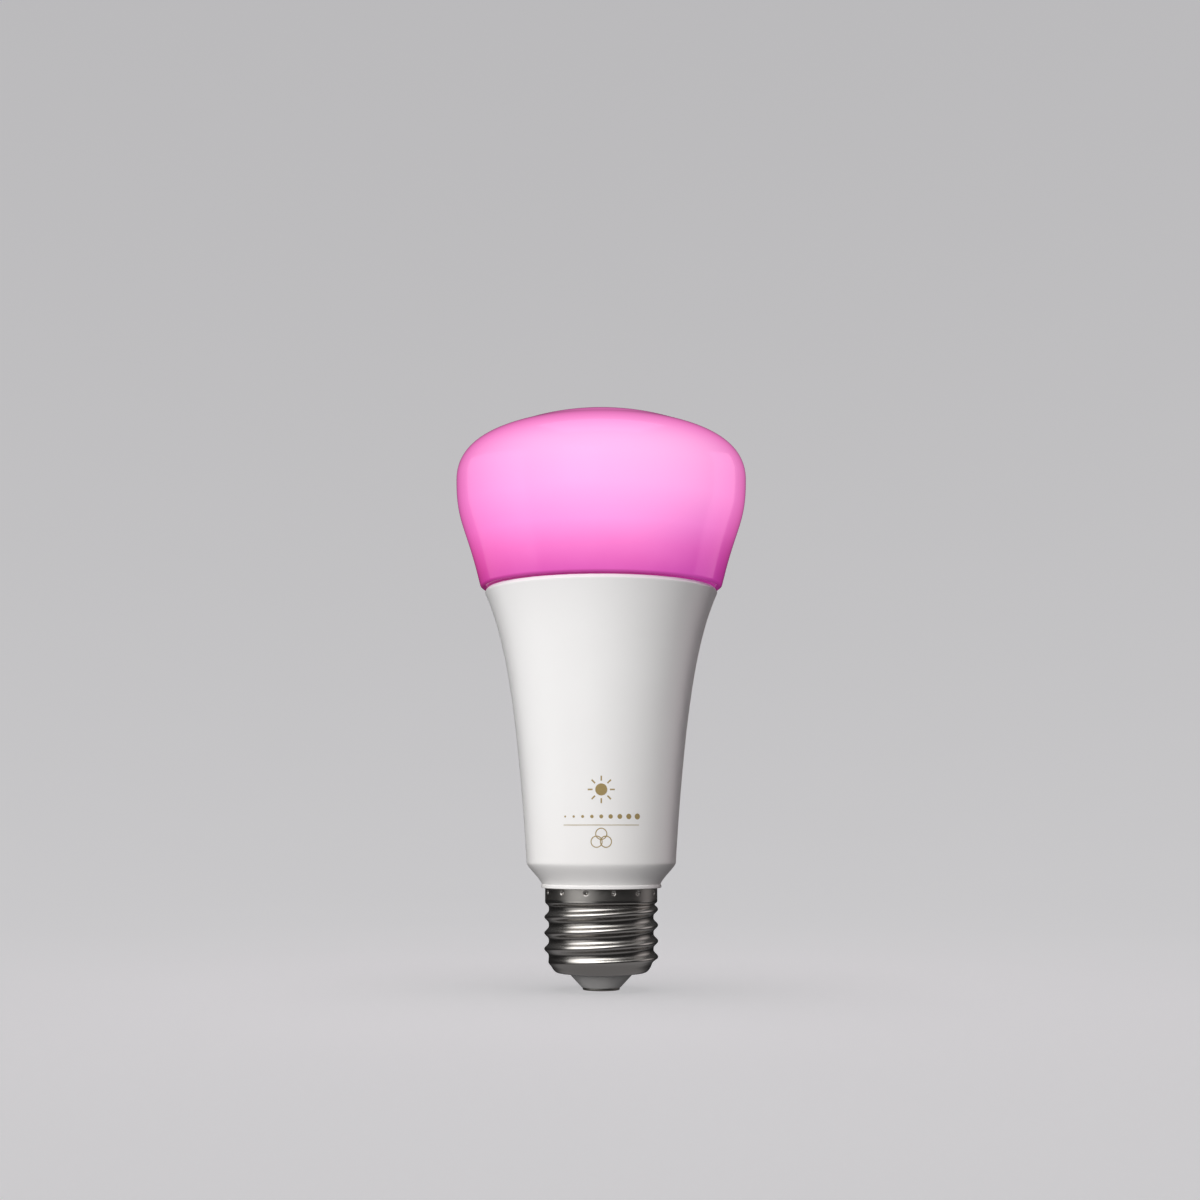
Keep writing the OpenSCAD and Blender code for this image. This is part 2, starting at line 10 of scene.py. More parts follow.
import bmesh
import bpy
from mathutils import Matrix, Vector


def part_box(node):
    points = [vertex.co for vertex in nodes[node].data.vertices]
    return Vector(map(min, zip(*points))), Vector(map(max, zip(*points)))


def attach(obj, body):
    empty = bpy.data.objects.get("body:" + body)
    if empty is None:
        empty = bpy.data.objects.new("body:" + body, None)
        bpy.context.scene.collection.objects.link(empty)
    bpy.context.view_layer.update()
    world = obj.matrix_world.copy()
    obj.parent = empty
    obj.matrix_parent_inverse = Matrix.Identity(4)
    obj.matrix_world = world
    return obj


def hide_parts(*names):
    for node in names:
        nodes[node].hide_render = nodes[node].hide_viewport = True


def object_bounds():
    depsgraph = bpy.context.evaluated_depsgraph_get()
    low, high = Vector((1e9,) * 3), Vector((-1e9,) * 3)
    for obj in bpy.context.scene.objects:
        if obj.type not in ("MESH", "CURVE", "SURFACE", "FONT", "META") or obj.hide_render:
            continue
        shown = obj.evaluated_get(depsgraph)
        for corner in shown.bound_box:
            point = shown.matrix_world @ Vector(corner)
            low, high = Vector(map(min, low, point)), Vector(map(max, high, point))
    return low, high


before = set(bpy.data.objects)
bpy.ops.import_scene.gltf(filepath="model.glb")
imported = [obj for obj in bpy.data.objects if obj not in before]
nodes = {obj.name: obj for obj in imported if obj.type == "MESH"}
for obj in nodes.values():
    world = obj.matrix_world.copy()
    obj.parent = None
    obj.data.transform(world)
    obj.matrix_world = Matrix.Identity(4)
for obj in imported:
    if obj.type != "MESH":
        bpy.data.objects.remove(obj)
cad_low, cad_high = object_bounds()
MM = 0.001
overall_h = cad_high.z / MM


def middle(name):
    """The centre of a measured piece, in millimetres."""
    return tuple((a + b) / 2 / MM for a, b in zip(*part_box(name)))


def foot_and_top(name):
    """The lowest and the highest point of a measured piece, in millimetres."""
    return tuple(corner.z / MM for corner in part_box(name))


def half_width(name):
    """How far a measured piece reaches along X, in millimetres."""
    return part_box(name)[1].x / MM


print(f"{len(nodes)} nodes, {overall_h:.1f} mm tall")

# %% [markdown]
# ## The camera
# The view is from just below the middle of the bulb, looking slightly up at the globe, so
# the seam and the lip curve upwards in the middle. The camera is made before the pieces.

# %% Camera
def make_camera():
    lens = bpy.data.cameras.new("view")
    lens.sensor_width = 36
    lens.lens = 52.3
    lens.clip_start = 0.01
    camera = bpy.data.objects.new("view", lens)
    camera.location = (-0.00028, -0.411, 0.0367)
    camera.rotation_euler = (math.radians(97.5), 0, 0)
    bpy.context.scene.collection.objects.link(camera)
    bpy.context.scene.camera = camera
    return camera


camera = make_camera()
print("camera at", tuple(round(v, 3) for v in camera.location))

# %% [markdown]
# ## The studio
# A pale bowl stands in for a paper sweep: a flat floor that curves up into a wall all the
# way round, so every angle has a plain background with no horizon. A softbox at the front
# left lights the housing and leaves its right side to fall away, and dimmer ones at the
# sides and behind draw its edges. The metal cap needs something to mirror, so it has four
# softboxes of its own.

# %% Studio
def point(r, angle, z):
    """A vertex in metres from a radius, an angle and a height in millimetres."""
    return r * math.cos(angle) * MM, r * math.sin(angle) * MM, z * MM


def turned_rings(outline, around):
    """The points of a turned shape, ring by ring. Points on the axis give one vertex."""
    verts, rings = [], []
    for r, z in outline:
        if r < 1e-6:
            rings.append([len(verts)])
            verts.append((0, 0, z * MM))
            continue
        rings.append(list(range(len(verts), len(verts) + around)))
        verts += [point(r, math.tau * k / around, z) for k in range(around)]
    return verts, rings


def stitch(lower, upper):
    """The faces between two neighbouring rings. Either may be a single point."""
    if len(lower) == 1 and len(upper) == 1:
        return []
    around = max(len(lower), len(upper))
    faces = []
    for k in range(around):
        m = (k + 1) % around
        if len(lower) == 1:
            faces.append((lower[0], upper[m], upper[k]))
        elif len(upper) == 1:
            faces.append((lower[k], lower[m], upper[0]))
        else:
            faces.append((lower[k], lower[m], upper[m], upper[k]))
    return faces


def ring_faces(rings, closed=True):
    """The faces that join each ring to the next, and the last to the first if closed."""
    faces = []
    for i in range(len(rings) if closed else len(rings) - 1):
        faces += stitch(rings[i], rings[(i + 1) % len(rings)])
    return faces


def new_piece(name, verts, faces, sharp_deg=35):
    """A smooth-shaded object with its normals outward and its hard edges kept."""
    mesh = bpy.data.meshes.new(name)
    mesh.from_pydata(verts, [], faces)
    shape = bmesh.new()
    shape.from_mesh(mesh)
    bmesh.ops.recalc_face_normals(shape, faces=shape.faces)
    shape.to_mesh(mesh)
    shape.free()
    mesh.shade_smooth()
    mesh.set_sharp_from_angle(angle=math.radians(sharp_deg))
    piece = bpy.data.objects.new(name, mesh)
    bpy.context.scene.collection.objects.link(piece)
    return piece


def turn(name, outline, around=192, closed=True, sharp_deg=35):
    """Turns an outline of (radius, height) points in millimetres round the axis."""
    verts, rings = turned_rings(outline, around)
    return new_piece(name, verts, ring_faces(rings, closed), sharp_deg)


def make_bowl():
    floor_r, wall_r, wall_h, curve = 300, 1300, 2000, 1000
    bend = [
        (floor_r + curve * math.sin(math.radians(a)), curve - curve * math.cos(math.radians(a)))
        for a in range(0, 91, 6)
    ]
    bowl = turn("studio_bowl", [(0, 0)] + bend + [(wall_r, wall_h)], around=96, closed=False)
    bowl.visible_diffuse = False
    bowl.visible_glossy = False
    return bowl


def softbox(name, azimuth, height, distance, size, power, colour=(1, 1, 1), aim=0.07,
            spread=180):
    """An area light round the bulb. Azimuth 0 is the camera's side, positive is right."""
    lamp = bpy.data.lights.new(name, "AREA")
    lamp.spread = math.radians(spread)
    lamp.shape = "RECTANGLE"
    lamp.size, lamp.size_y = size
    lamp.energy = power
    lamp.color = colour
    light = bpy.data.objects.new(name, lamp)
    a = math.radians(azimuth)
    light.location = (distance * math.sin(a), -distance * math.cos(a), height)
    aim_at = Vector((0, 0, aim)) - light.location
    light.rotation_euler = aim_at.to_track_quat("-Z", "Y").to_euler()
    light.visible_camera = False
    bpy.context.scene.collection.objects.link(light)
    return light


bowl = make_bowl()
key = softbox("key", -16, 0.21, 0.62, (0.3, 0.42), 4.8)
key.visible_glossy = False
left_wall = softbox("left_wall", -94, 0.1, 0.6, (0.8, 0.55), 1.35)
softbox("overhead", 0, 0.95, 0.02, (0.7, 0.7), 1.8)
right_edge = softbox("right_edge", 112, 0.14, 0.6, (0.34, 0.5), 0.75, colour=(1.0, 0.86, 0.91))
back = softbox("back", 165, 0.25, 0.7, (0.6, 0.5), 3.2)
back.visible_glossy = False
cap_h = 0.013
cap_lights = [
    softbox("cap_key", -39, 0.51, 0.336, (1.0, 1.0), 3.1, aim=cap_h, spread=95),
    softbox("cap_left", -48, 0.055, 0.6, (0.9, 0.2), 0.11, aim=cap_h, spread=85),
    softbox("cap_top", 0, 0.81, 0.03, (1.4, 1.4), 1.6, aim=cap_h),
    softbox("cap_right", 106, 0.2, 0.57, (0.5, 0.8), 0.09, (1.0, 0.95, 0.96), cap_h, spread=60),
]
bpy.context.scene.view_settings.view_transform = "Standard"
print("studio: one bowl,", len(bpy.data.lights), "softboxes")

# %% [markdown]
# ## Writing a finish
# A finish is a small graph of shader nodes. Wiring it by hand hides the idea, so one class
# wraps an output and lets ordinary arithmetic build the nodes: `1 - dirt * 0.3` becomes two
# Math nodes. A vector goes through Vector Math, and a colour through Mix, because a Math
# node would turn it grey. Its short methods name the patterns that surfaces use, so a
# pattern reads from left to right: `place.noise(4).between(0.5, 0.7)` is patches with soft
# edges. All of them measure in millimetres.

# %% Shader arithmetic
def arithmetic(operation, swapped=False):
    """A method that joins a wire and another value with one operation."""
    def method(self, other):
        return self.combine(operation, *((other, self) if swapped else (self, other)))
    return method


def along(letter):
    """A property that gives a place's distance along one axis."""
    return property(lambda self: self.finish.add(
        "ShaderNodeSeparateXYZ", sockets={"Vector": self}, out=letter))


class Wire:
    """One output of a node in a finish. Arithmetic on it adds more nodes."""

    def __init__(self, finish, socket):
        self.finish = finish
        self.socket = socket

    def combine(self, operation, left, right):
        sides = (left, right)
        if any(isinstance(s, Wire) and s.socket.type == "VECTOR" for s in sides):
            sides = [s if isinstance(s, (Wire, tuple)) else (s, s, s) for s in sides]
            kind = "ShaderNodeVectorMath"
        else:
            kind = "ShaderNodeMath"
        return self.finish.add(kind, {"operation": operation}, {0: sides[0], 1: sides[1]})

    __add__ = arithmetic("ADD")
    __radd__ = arithmetic("ADD", swapped=True)
    __sub__ = arithmetic("SUBTRACT")
    __rsub__ = arithmetic("SUBTRACT", swapped=True)
    __mul__ = arithmetic("MULTIPLY")
    __rmul__ = arithmetic("MULTIPLY", swapped=True)
    __truediv__ = arithmetic("DIVIDE")
    __pow__ = arithmetic("POWER")
    x, y, z = along("X"), along("Y"), along("Z")

    def add(self, *parts, **more):
        return self.finish.add(*parts, **more)

    def maths(self, operation, *others):
        return self.add("ShaderNodeMath", {"operation": operation},
                        dict(enumerate((self, *others))))

    def size(self):
        return self.maths("ABSOLUTE")

    def highest(self, other):
        return self.maths("MAXIMUM", other)

    def lowest(self, other):
        return self.maths("MINIMUM", other)

    def wave(self, length):
        """A smooth ripple from 0 to 1 that repeats every length millimetres."""
        return (self * (math.tau / length)).maths("SINE") * 0.5 + 0.5

    def between(self, low, high):
        """0 below low, 1 above high, and a smooth step from one to the other."""
        return self.add("ShaderNodeMapRange", {"interpolation_type": "SMOOTHSTEP"}, {
            "Value": self, "From Min": low, "From Max": high})

    def mix(self, first, second):
        """The first colour where this is 0 and the second where it is 1."""
        return self.add("ShaderNodeMix", {"data_type": "RGBA"}, {
            "Factor": self, "A": first, "B": second}, out=2)

    def ramp(self, stops):
        return self.add("ShaderNodeValToRGB", {"stops": stops}, {"Fac": self})

    def flat(self, up):
        """Two distances as one place, for a pattern on a flat face."""
        return self.add("ShaderNodeCombineXYZ", sockets={"X": self, "Y": up})

    def noise(self, size, detail=3, rough=0.5):
        """Soft random patches about size millimetres across, from 0 to 1."""
        return self.add("ShaderNodeTexNoise", sockets={
            "Vector": self, "Scale": 1 / size, "Detail": detail, "Roughness": rough})

    def cells(self, size):
        """Distance from the middle of random cells about size millimetres across."""
        return self.add("ShaderNodeTexVoronoi", sockets={"Vector": self, "Scale": 1 / size})

    def dots(self, spacing, jitter):
        """Distance to the nearest of a flat grid of dots, as a share of its spacing."""
        return self.add("ShaderNodeTexVoronoi", {"voronoi_dimensions": "2D"}, {
            "Vector": self, "Scale": 1 / spacing, "Randomness": jitter})

    def radius(self):
        """A place's distance from the upright axis."""
        return self.add("ShaderNodeVectorMath", {"operation": "LENGTH"},
                        {0: self * (1, 1, 0)}, out="Value")

    def angle(self):
        """A place's angle round that axis, in radians."""
        return self.y.maths("ARCTAN2", self.x)

    def nearest(self, count, ring_r, turn=0.0):
        """Distance to the nearest of count spots spaced evenly on a ring round the axis."""
        fold = (self.angle() - turn).maths("PINGPONG", math.pi / count)
        aside, out = fold * ring_r, self.radius() - ring_r
        return (aside * aside + out * out) ** 0.5


# %% [markdown]
# The finish itself holds one Principled shader. `add` is the only method that makes a node:
# it takes the node's type, its settings, then what goes into its sockets. `place` starts
# every pattern, and `surface` ends it.

# %% Finish class
class Finish:
    """A material with one Principled shader, and helpers that add nodes to it."""

    def __init__(self, name, **plain):
        self.material = bpy.data.materials.new(name)
        self.material.use_nodes = True
        self.tree = self.material.node_tree
        self.shader = self.tree.nodes["Principled BSDF"]
        self.show(**plain)

    def put(self, node, key, value):
        if isinstance(value, str):
            value = srgb(value)
        socket = node.inputs[key] if isinstance(key, int) else next(
            s for s in node.inputs if s.name == key and s.enabled)
        if isinstance(value, Wire):
            self.tree.links.new(value.socket, socket)
        elif isinstance(value, tuple) and socket.type == "RGBA" and len(value) == 3:
            socket.default_value = (*value, 1)
        else:
            socket.default_value = value

    def add(self, kind, settings=None, sockets=None, out=None):
        node = self.tree.nodes.new(kind)
        settings = dict(settings or {})
        stops = settings.pop("stops", None)
        for key, value in settings.items():
            setattr(node, key, value)
        if stops:
            fill_ramp(node.color_ramp, stops)
        for key, value in (sockets or {}).items():
            self.put(node, key, value)
        outputs = [s for s in node.outputs if s.enabled]
        return Wire(self, outputs[0] if out is None else node.outputs[out])

    def place(self, stretch=(1, 1, 1)):
        """Where a point is on the object, in millimetres, stretched along each axis."""
        where = self.add("ShaderNodeTexCoord", out="Object")
        return where * tuple(s / MM for s in stretch)

    def show(self, **values):
        """Sets or drives the shader's own sockets, with _ for each space in a name."""
        for socket, value in values.items():
            self.put(self.shader, socket.replace("_", " "), value)

    def surface(self, colour, rough, height, depth, **more):
        """Drives the sockets that every finish has. Height times depth, in millimetres, is
        how far light sees the surface raised."""
        self.show(Base_Color=colour, Roughness=rough, **more)
        self.show(Normal=self.add("ShaderNodeBump", sockets={
            "Strength": 1.0, "Distance": depth * MM, "Height": height}))
        return self


def fill_ramp(ramp, stops):
    """Sets the stops of a colour ramp, each a place from 0 to 1 and a linear colour."""
    while len(ramp.elements) < len(stops):
        ramp.elements.new(1)
    for element, (place, colour) in zip(ramp.elements, stops):
        element.position = place
        element.color = (*colour, 1)


def srgb(code):
    """A screen colour such as #e0dfe1 as the linear colour that shaders mix."""
    values = [int(code[i:i + 2], 16) / 255 for i in (1, 3, 5)]
    return tuple(v / 12.92 if v <= 0.04045 else ((v + 0.055) / 1.055) ** 2.4 for v in values)


print("finish helpers ready")

# %% [markdown]
# ### The room's light
# What no softbox reaches is lit by the room: dim above, dark at the horizon, and brighter
# below it, where a pale floor would throw light back up into the shoulder of the cap. The
# dark band is what gives the metal its contrast.

# %% Room
def make_room():
    room = bpy.data.worlds.new("room")
    room.use_nodes = True
    tree = room.node_tree
    look = tree.nodes.new("ShaderNodeTexCoord")
    split = tree.nodes.new("ShaderNodeSeparateXYZ")
    height = tree.nodes.new("ShaderNodeMapRange")
    height.inputs["From Min"].default_value = -1
    shade = tree.nodes.new("ShaderNodeValToRGB")
    levels = ((0.0, 0.24), (0.2, 0.24), (0.3, 0.06), (0.4, 0.015), (0.5, 0.02), (0.6, 0.03),
              (0.8, 0.07))
    fill_ramp(shade.color_ramp, [(up, (grey * 0.98, grey * 0.97, grey)) for up, grey in levels])
    tree.links.new(look.outputs["Generated"], split.inputs["Vector"])
    tree.links.new(split.outputs["Z"], height.inputs["Value"])
    tree.links.new(height.outputs["Result"], shade.inputs["Fac"])
    tree.links.new(shade.outputs["Color"], tree.nodes["Background"].inputs["Color"])
    bpy.context.scene.world = room
    return room


world = make_room()
print("room:", world.name)

# %% [markdown]
# ### The floor's finish
# Matt photographic paper: nearly even, with a faint cloudiness so that it isn't a flat fill.

# %% Paper
def paper_finish():
    paper = Finish("studio_paper")
    cloud = paper.place().noise(90, 4)
    return paper.surface(cloud.mix("#d6d5d6", "#dddcdd"), 0.85,
                         paper.place().noise(0.8, 2), 0.02,
                         Emission_Color="#e0dfe1", Emission_Strength=0.6)


def dress(piece, finish):
    """Gives a piece one finish, in place of any it had."""
    piece.data.materials.clear()
    piece.data.materials.append(finish.material)


dress(bowl, paper_finish())
print("bowl dressed")

# %% [markdown]
# ## The globe
# The diffuser is blown or moulded opal plastic about 1.2 mm thick. Its side rises from the
# seam on one long curve, turns over a tight shoulder and closes in a shallow crown. Three
# curves give that outline, and the inside follows it one wall further in. A spigot below
# the seam goes down into the housing's rim. The outer edge at the seam is a little proud of
# the housing, with a small radius that catches a line of light.

# %% Outlines
def bezier(a, b, c, d, steps):
    """Points on a cubic curve from a to d, pulled towards b and c."""
    points = []
    for i in range(steps + 1):
        t = i / steps
        w = ((1 - t) ** 3, 3 * (1 - t) ** 2 * t, 3 * (1 - t) * t * t, t ** 3)
        points.append(tuple(sum(wi * p[k] for wi, p in zip(w, (a, b, c, d))) for k in (0, 1)))
    return points


def rounded(corners, steps=5):
    """A path of (radius, height, fillet) corners with each fillet drawn as an arc."""
    path = []
    n = len(corners)
    for i, (r, z, fillet) in enumerate(corners):
        if not fillet:
            path.append((r, z))
            continue
        here = Vector((r, z))
        before = Vector(corners[(i - 1) % n][:2]) - here
        after = Vector(corners[(i + 1) % n][:2]) - here
        half = before.angle(after) / 2
        reach = min(fillet / math.tan(half), before.length / 2, after.length / 2)
        start, end = here + before.normalized() * reach, here + after.normalized() * reach
        for k in range(steps + 1):
            t = k / steps
            p = start * (1 - t) ** 2 + here * 2 * t * (1 - t) + end * t * t
            path.append((p.x, p.y))
    return path


def globe_curve(inset, foot):
    """The globe's outline from the seam to the crown, moved inwards."""
    wide, top = half_width("globe") - inset, overall_h - inset
    rim, widest_z = 28.6 - inset, 119.5
    ball, edge_a = 60 - inset, math.radians(21)

    def on_ball(a):
        return ball * math.sin(a), top - ball * (1 - math.cos(a))

    edge = on_ball(edge_a)
    side = bezier((rim, foot), (rim + 3.5, foot + 15), (wide, widest_z - 10.7),
                  (wide, widest_z), 60)
    pull = (edge[0] + 3.8 * math.cos(edge_a), edge[1] - 3.8 * math.sin(edge_a))
    shoulder = bezier((wide, widest_z), (wide, widest_z + 8.9), pull, edge, 60)
    crown = [on_ball(edge_a * (1 - i / 30)) for i in range(1, 31)]
    crown[-1] = (0, top)
    return side + shoulder[1:] + crown


seam_z, dome_h = 93.5, 42.5
print("globe is", round(2 * half_width("globe"), 1), "mm wide")

# %% Globe
def make_globe():
    wall, spigot_r, spigot_foot = 1.2, 25.1, foot_and_top("globe")[0]
    outer = globe_curve(0, seam_z)
    inner = globe_curve(wall, seam_z + wall)
    edge = rounded([(spigot_r, seam_z, 0), (outer[0][0] - 0.55, seam_z, 0.3),
                    (outer[0][0] + 0.1, seam_z + 0.5, 0.7), (outer[6][0], outer[6][1], 0)])
    foot = rounded([
        (spigot_r - wall, seam_z + wall, 0.3),
        (spigot_r - wall, spigot_foot, 0.25),
        (spigot_r, spigot_foot, 0.25),
        (spigot_r, seam_z, 0),
    ])[:-1]
    outline = edge[:-1] + outer[6:] + inner[::-1] + foot
    return turn("opal_globe", outline, around=256)


def opal_finish():
    """Opal plastic lit from inside: the light is lilac in the dome and magenta at the foot."""
    opal = Finish("opal_plastic", IOR=1.49, Coat_Weight=1.0, Coat_IOR=1.1, Coat_Roughness=0.05,
                  Coat_Tint=(0.83, 0.45, 0.68))
    place = opal.place()
    x, z = place.x, place.z
    glow = ((z - seam_z) / dome_h).ramp([
        (0.0, (0.15, 0.03, 0.12)),
        (0.012, (0.31, 0.08, 0.25)),
        (0.07, (0.37, 0.125, 0.29)),
        (0.15, (0.44, 0.19, 0.355)),
        (0.27, (0.51, 0.325, 0.47)),
        (0.45, (0.52, 0.435, 0.52)),
        (0.7, (0.52, 0.52, 0.53)),
        (0.9, (0.54, 0.52, 0.54)),
        (1.0, (0.67, 0.84, 0.79)),
    ])
    # Painted shade: the lower right side of the glow is mixed towards a darker violet.
    right_side_painted_shade = x.between(4, 30) * (1 - z.between(94, 114))
    glow = (right_side_painted_shade * 0.6).mix(glow, (0.21, 0.05, 0.25))
    cloud = place.noise(9, 3)
    glow = (cloud * 0.1).mix(glow, (0.52, 0.39, 0.49))
    return opal.surface(
        cloud.mix((0.20, 0.06, 0.15), (0.24, 0.08, 0.19)),
        0.16 + place.noise(14, 4) * 0.06, place.noise(1.6, 2), 0.003,
        Emission_Color=glow, Emission_Strength=2.3)


globe = make_globe()
dress(globe, opal_finish())
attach(globe, "root")
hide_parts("globe")
print("globe:", len(globe.data.polygons), "faces")

# %% [markdown]
# ## The housing
# White moulded plastic over the heat spreader. Its outline is a waist that flares slowly at
# first and then fast, so its radius is a straight term, a square term and a sixth-power
# term of the height. The rim has a small bevel, the underside turns in to the neck, and a
# thin lip sits on top of the screw shell.

# %% Housing
waist_z, waist_r = 29, 17.4
flare = (3.9, 3.6, 3.2)
lip_z, lip_r = 23.3, 14.0
collar_foot, collar_full = 19.2, 20.2


def body_radius(z):
    """Radius of the housing's outer face at height z, in millimetres."""
    u = (z - waist_z) / (seam_z - waist_z)
    return waist_r + flare[0] * u + flare[1] * u * u + flare[2] * u ** 6


def make_housing():
    rim_z, bevel_z, wall, bore_r, ledge_z = seam_z - 0.3, seam_z - 1.1, 1.8, 25.2, 89
    floor_z, neck_bore_r, neck_foot, neck_r, seat_r = 31, 10.2, 9.5, 11.5, 12.6
    under = bezier((lip_r - 0.15, lip_z + 0.95), (lip_r + 0.6, waist_z - 3.1),
                   (waist_r - 0.3, waist_z - 1.1), (waist_r, waist_z), 30)
    lip = rounded([
        (seat_r, lip_z, 0),
        (lip_r, lip_z, 0.2),
        (lip_r, lip_z + 0.7, 0.2),
        (lip_r - 0.2, lip_z + 0.85, 0),
    ])
    flank_foot = waist_z + 0.5
    heights = [flank_foot + (bevel_z - 0.2 - waist_z - 0.5) * i / 90 for i in range(91)]
    flank = [(body_radius(z), z) for z in heights]
    rim = rounded([
        (body_radius(bevel_z), bevel_z, 0.3),
        (body_radius(bevel_z) - 0.5, rim_z, 0.15),
        (bore_r, rim_z, 0.2),
        (bore_r, ledge_z, 0),
    ])
    inside = [(body_radius(z) - wall, z) for z in (ledge_z - 1.2 * i for i in range(49))]
    foot = rounded([
        (body_radius(floor_z) - wall, floor_z, 0.5),
        (neck_bore_r, floor_z, 0.5),
        (neck_bore_r, neck_foot, 0.2),
        (neck_r, neck_foot, 0.2),
        (neck_r, 19.6, 0),
        (seat_r, 20.4, 0),
    ])
    inside = [p for p in inside if p[1] > floor_z + 0.6]
    return turn("white_housing", lip + under + flank + rim + inside + foot, around=256)


def white_plastic():
    """Satin moulded plastic: the mould's fine sparked texture, with faint handling marks."""
    white = Finish("white_plastic", IOR=1.5, Coat_Weight=0.12, Coat_Roughness=0.3)
    place = white.place()
    grain = place.noise(0.16, 2, 0.6)
    cloud = place.noise(22, 4)
    tone = cloud.mix("#e9e7e6", "#f0efee")
    # Painted light: towards the bottom the housing is mixed to a warmer tint.
    warm = place.z.between(60, 20)
    rub = white.place((1, 1, 0.35)).noise(6, 4).between(0.56, 0.7)
    return white.surface((warm * 0.25).mix(tone, "#f3eeea"),
                         0.34 + grain * 0.08 - rub * 0.07, grain + cloud * 0.6, 0.006)


housing = make_housing()
dress(housing, white_plastic())
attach(housing, "root")
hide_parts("housing")
print("housing:", len(housing.data.polygons), "faces")

# %% [markdown]
# ## The screw shell
# The shell is one thin sheet of nickel-plated metal. Its thread is rolled, so it is a wave
# and not a cut groove: rounded crests with wider roots between them. The wave climbs one
# pitch for each turn, fades into the smooth collar at the top and runs out on the shoulder
# at the bottom. A grid of points whose radius is a function of height and angle gives
# exactly that. Thirteen punched dimples lock the collar to the neck.

# %% Screw shell
pitch, root_r, collar_r, sheet = 3.629, 12.15, 13.05, 0.35
crest_z, thread_foot, thread_h, collar_h = 18.4, 7.2, 14.0, 2.1
crest_r = half_width("screw_shell")
dimples, dimple_z, dimple_r, dimple_turn = 13, 22.4, 0.62, math.radians(5.4)


def ramp01(low, high, value):
    t = min(1, max(0, (value - low) / (high - low)))
    return t * t * (3 - 2 * t)


def shell_radius(base, z, angle):
    """Radius of the shell's outer face: base profile, thread wave, collar and dimples."""
    turns = (z - crest_z) / pitch - angle / math.tau
    wave = ((1 + math.cos(math.tau * turns)) / 2) ** 1.6
    body = base + (collar_r - base) * ramp01(collar_foot, collar_full, z)
    share = ramp01(5, 7.6, z) * (1 - ramp01(19, collar_full, z))
    step = math.tau / dimples
    turned = angle - dimple_turn
    off = (turned - step * round(turned / step)) * collar_r
    near = math.hypot(off, z - dimple_z) / dimple_r
    dent = 0.5 * (1 - near * near) ** 2 if near < 1 else 0
    return body + (crest_r - root_r) * wave * share - dent


def make_shell():
    around, floor_z, floor_r, bend_h = 468, foot_and_top("screw_shell")[0], 8, 1.5
    profile = [(7.9, floor_z), (8.6, floor_z)]
    profile += bezier((9.8, floor_z), (11, floor_z + 0.05), (11.6, 5.2),
                      (root_r, thread_foot), 20)
    profile += [(root_r, thread_foot + thread_h * i / 112) for i in range(1, 113)]
    profile += [(root_r, thread_foot + thread_h + collar_h * i / 20) for i in range(1, 21)]
    verts = []
    for thick in (0, sheet):
        for base, z in profile:
            inset = thick if base > floor_r else 0
            lift = thick * max(0, 1 - (z - floor_z) / bend_h)
            for k in range(around):
                a = math.tau * k / around
                verts.append(point(shell_radius(base, z, a) - inset, a, z + lift))
    rings = [list(range(i * around, (i + 1) * around)) for i in range(2 * len(profile))]
    loop = rings[:len(profile)] + rings[len(profile):][::-1]
    return new_piece("screw_cap_shell", verts, ring_faces(loop), sharp_deg=50)


def nickel_plate():
    """Bright nickel on rolled brass: the roots are rougher and painted darker as shade, and the
    collar is still as pressed.
    """
    nickel = Finish("nickel_plate", Metallic=1.0)
    place = nickel.place()
    # Painted shade: the thread roots are mixed towards a darker grey; they are also made
    # rougher.
    root = 1 - place.radius().between(12.1, 12.9)
    collar = place.z.between(20.4, 20.9)
    lines = nickel.place((0.06, 0.06, 8)).noise(1, 3)
    stain = place.noise(5, 5, 0.6)
    tone = stain.mix((0.54, 0.515, 0.485), (0.60, 0.575, 0.545))
    pits = place.noise(0.5, 2)
    return nickel.surface(
        (root * 0.35).mix(tone, (0.33, 0.31, 0.29)),
        0.19 + stain * 0.03 + root * 0.04 + lines * 0.03 + collar * 0.13,
        lines + collar * pits * 6, 0.0012)


shell = make_shell()
dress(shell, nickel_plate())
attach(shell, "root")
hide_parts("screw_shell")
print("shell:", len(shell.data.polygons), "faces, crest radius", round(crest_r, 2))

# %% [markdown]
# ## The insulator and the centre contact
# A grey moulded cone carries the riveted contact below the shell. Both are turned shapes
# with their edges softened, because a moulded or stamped edge is never sharp.

# %% Cap end
def make_insulator():
    foot, top = foot_and_top("cap_insulator")
    contact_r, hole_r, shelf_z = half_width("centre_contact"), 1.7, 6.6
    outline = rounded([
        (hole_r, foot, 0),
        (contact_r + 0.2, foot, 0.25),
        (7.6, 3.9, 0.25),
        (7.7, 4.25, 0),
        (9.1, 4.25, 0.2),
        (10.2, shelf_z, 0.3),
        (10.2, top, 0.2),
        (9.2, top, 0.2),
        (9.2, shelf_z, 0.3),
        (hole_r, shelf_z, 0.2),
    ])
    return turn("insulator_cone", outline, around=160)


def make_contact():
    r, top = half_width("centre_contact"), foot_and_top("centre_contact")[1]
    thick, shank_r, head_z = 0.6, 1.6, 6.6
    outline = [(0, 0)] + rounded([
        (r - 0.8, 0.0, 0),
        (r, 0.0, 0.5),
        (r, thick, 0),
        (shank_r, thick, 0),
        (shank_r, head_z, 0),
        (2.6, head_z, 0.15),
        (2.3, 7.2, 0.3),
    ]) + [(1.2, top - 0.05), (0, top)]
    return turn("contact_rivet", outline, around=128)


def grey_insulator():
    grey = Finish("insulator_grey", IOR=1.5)
    place = grey.place()
    cloud = place.noise(2.5, 4)
    return grey.surface(
        cloud.mix((0.35, 0.34, 0.33), (0.43, 0.42, 0.41)), 0.42 + cloud * 0.15,
        place.noise(0.25, 2), 0.008)


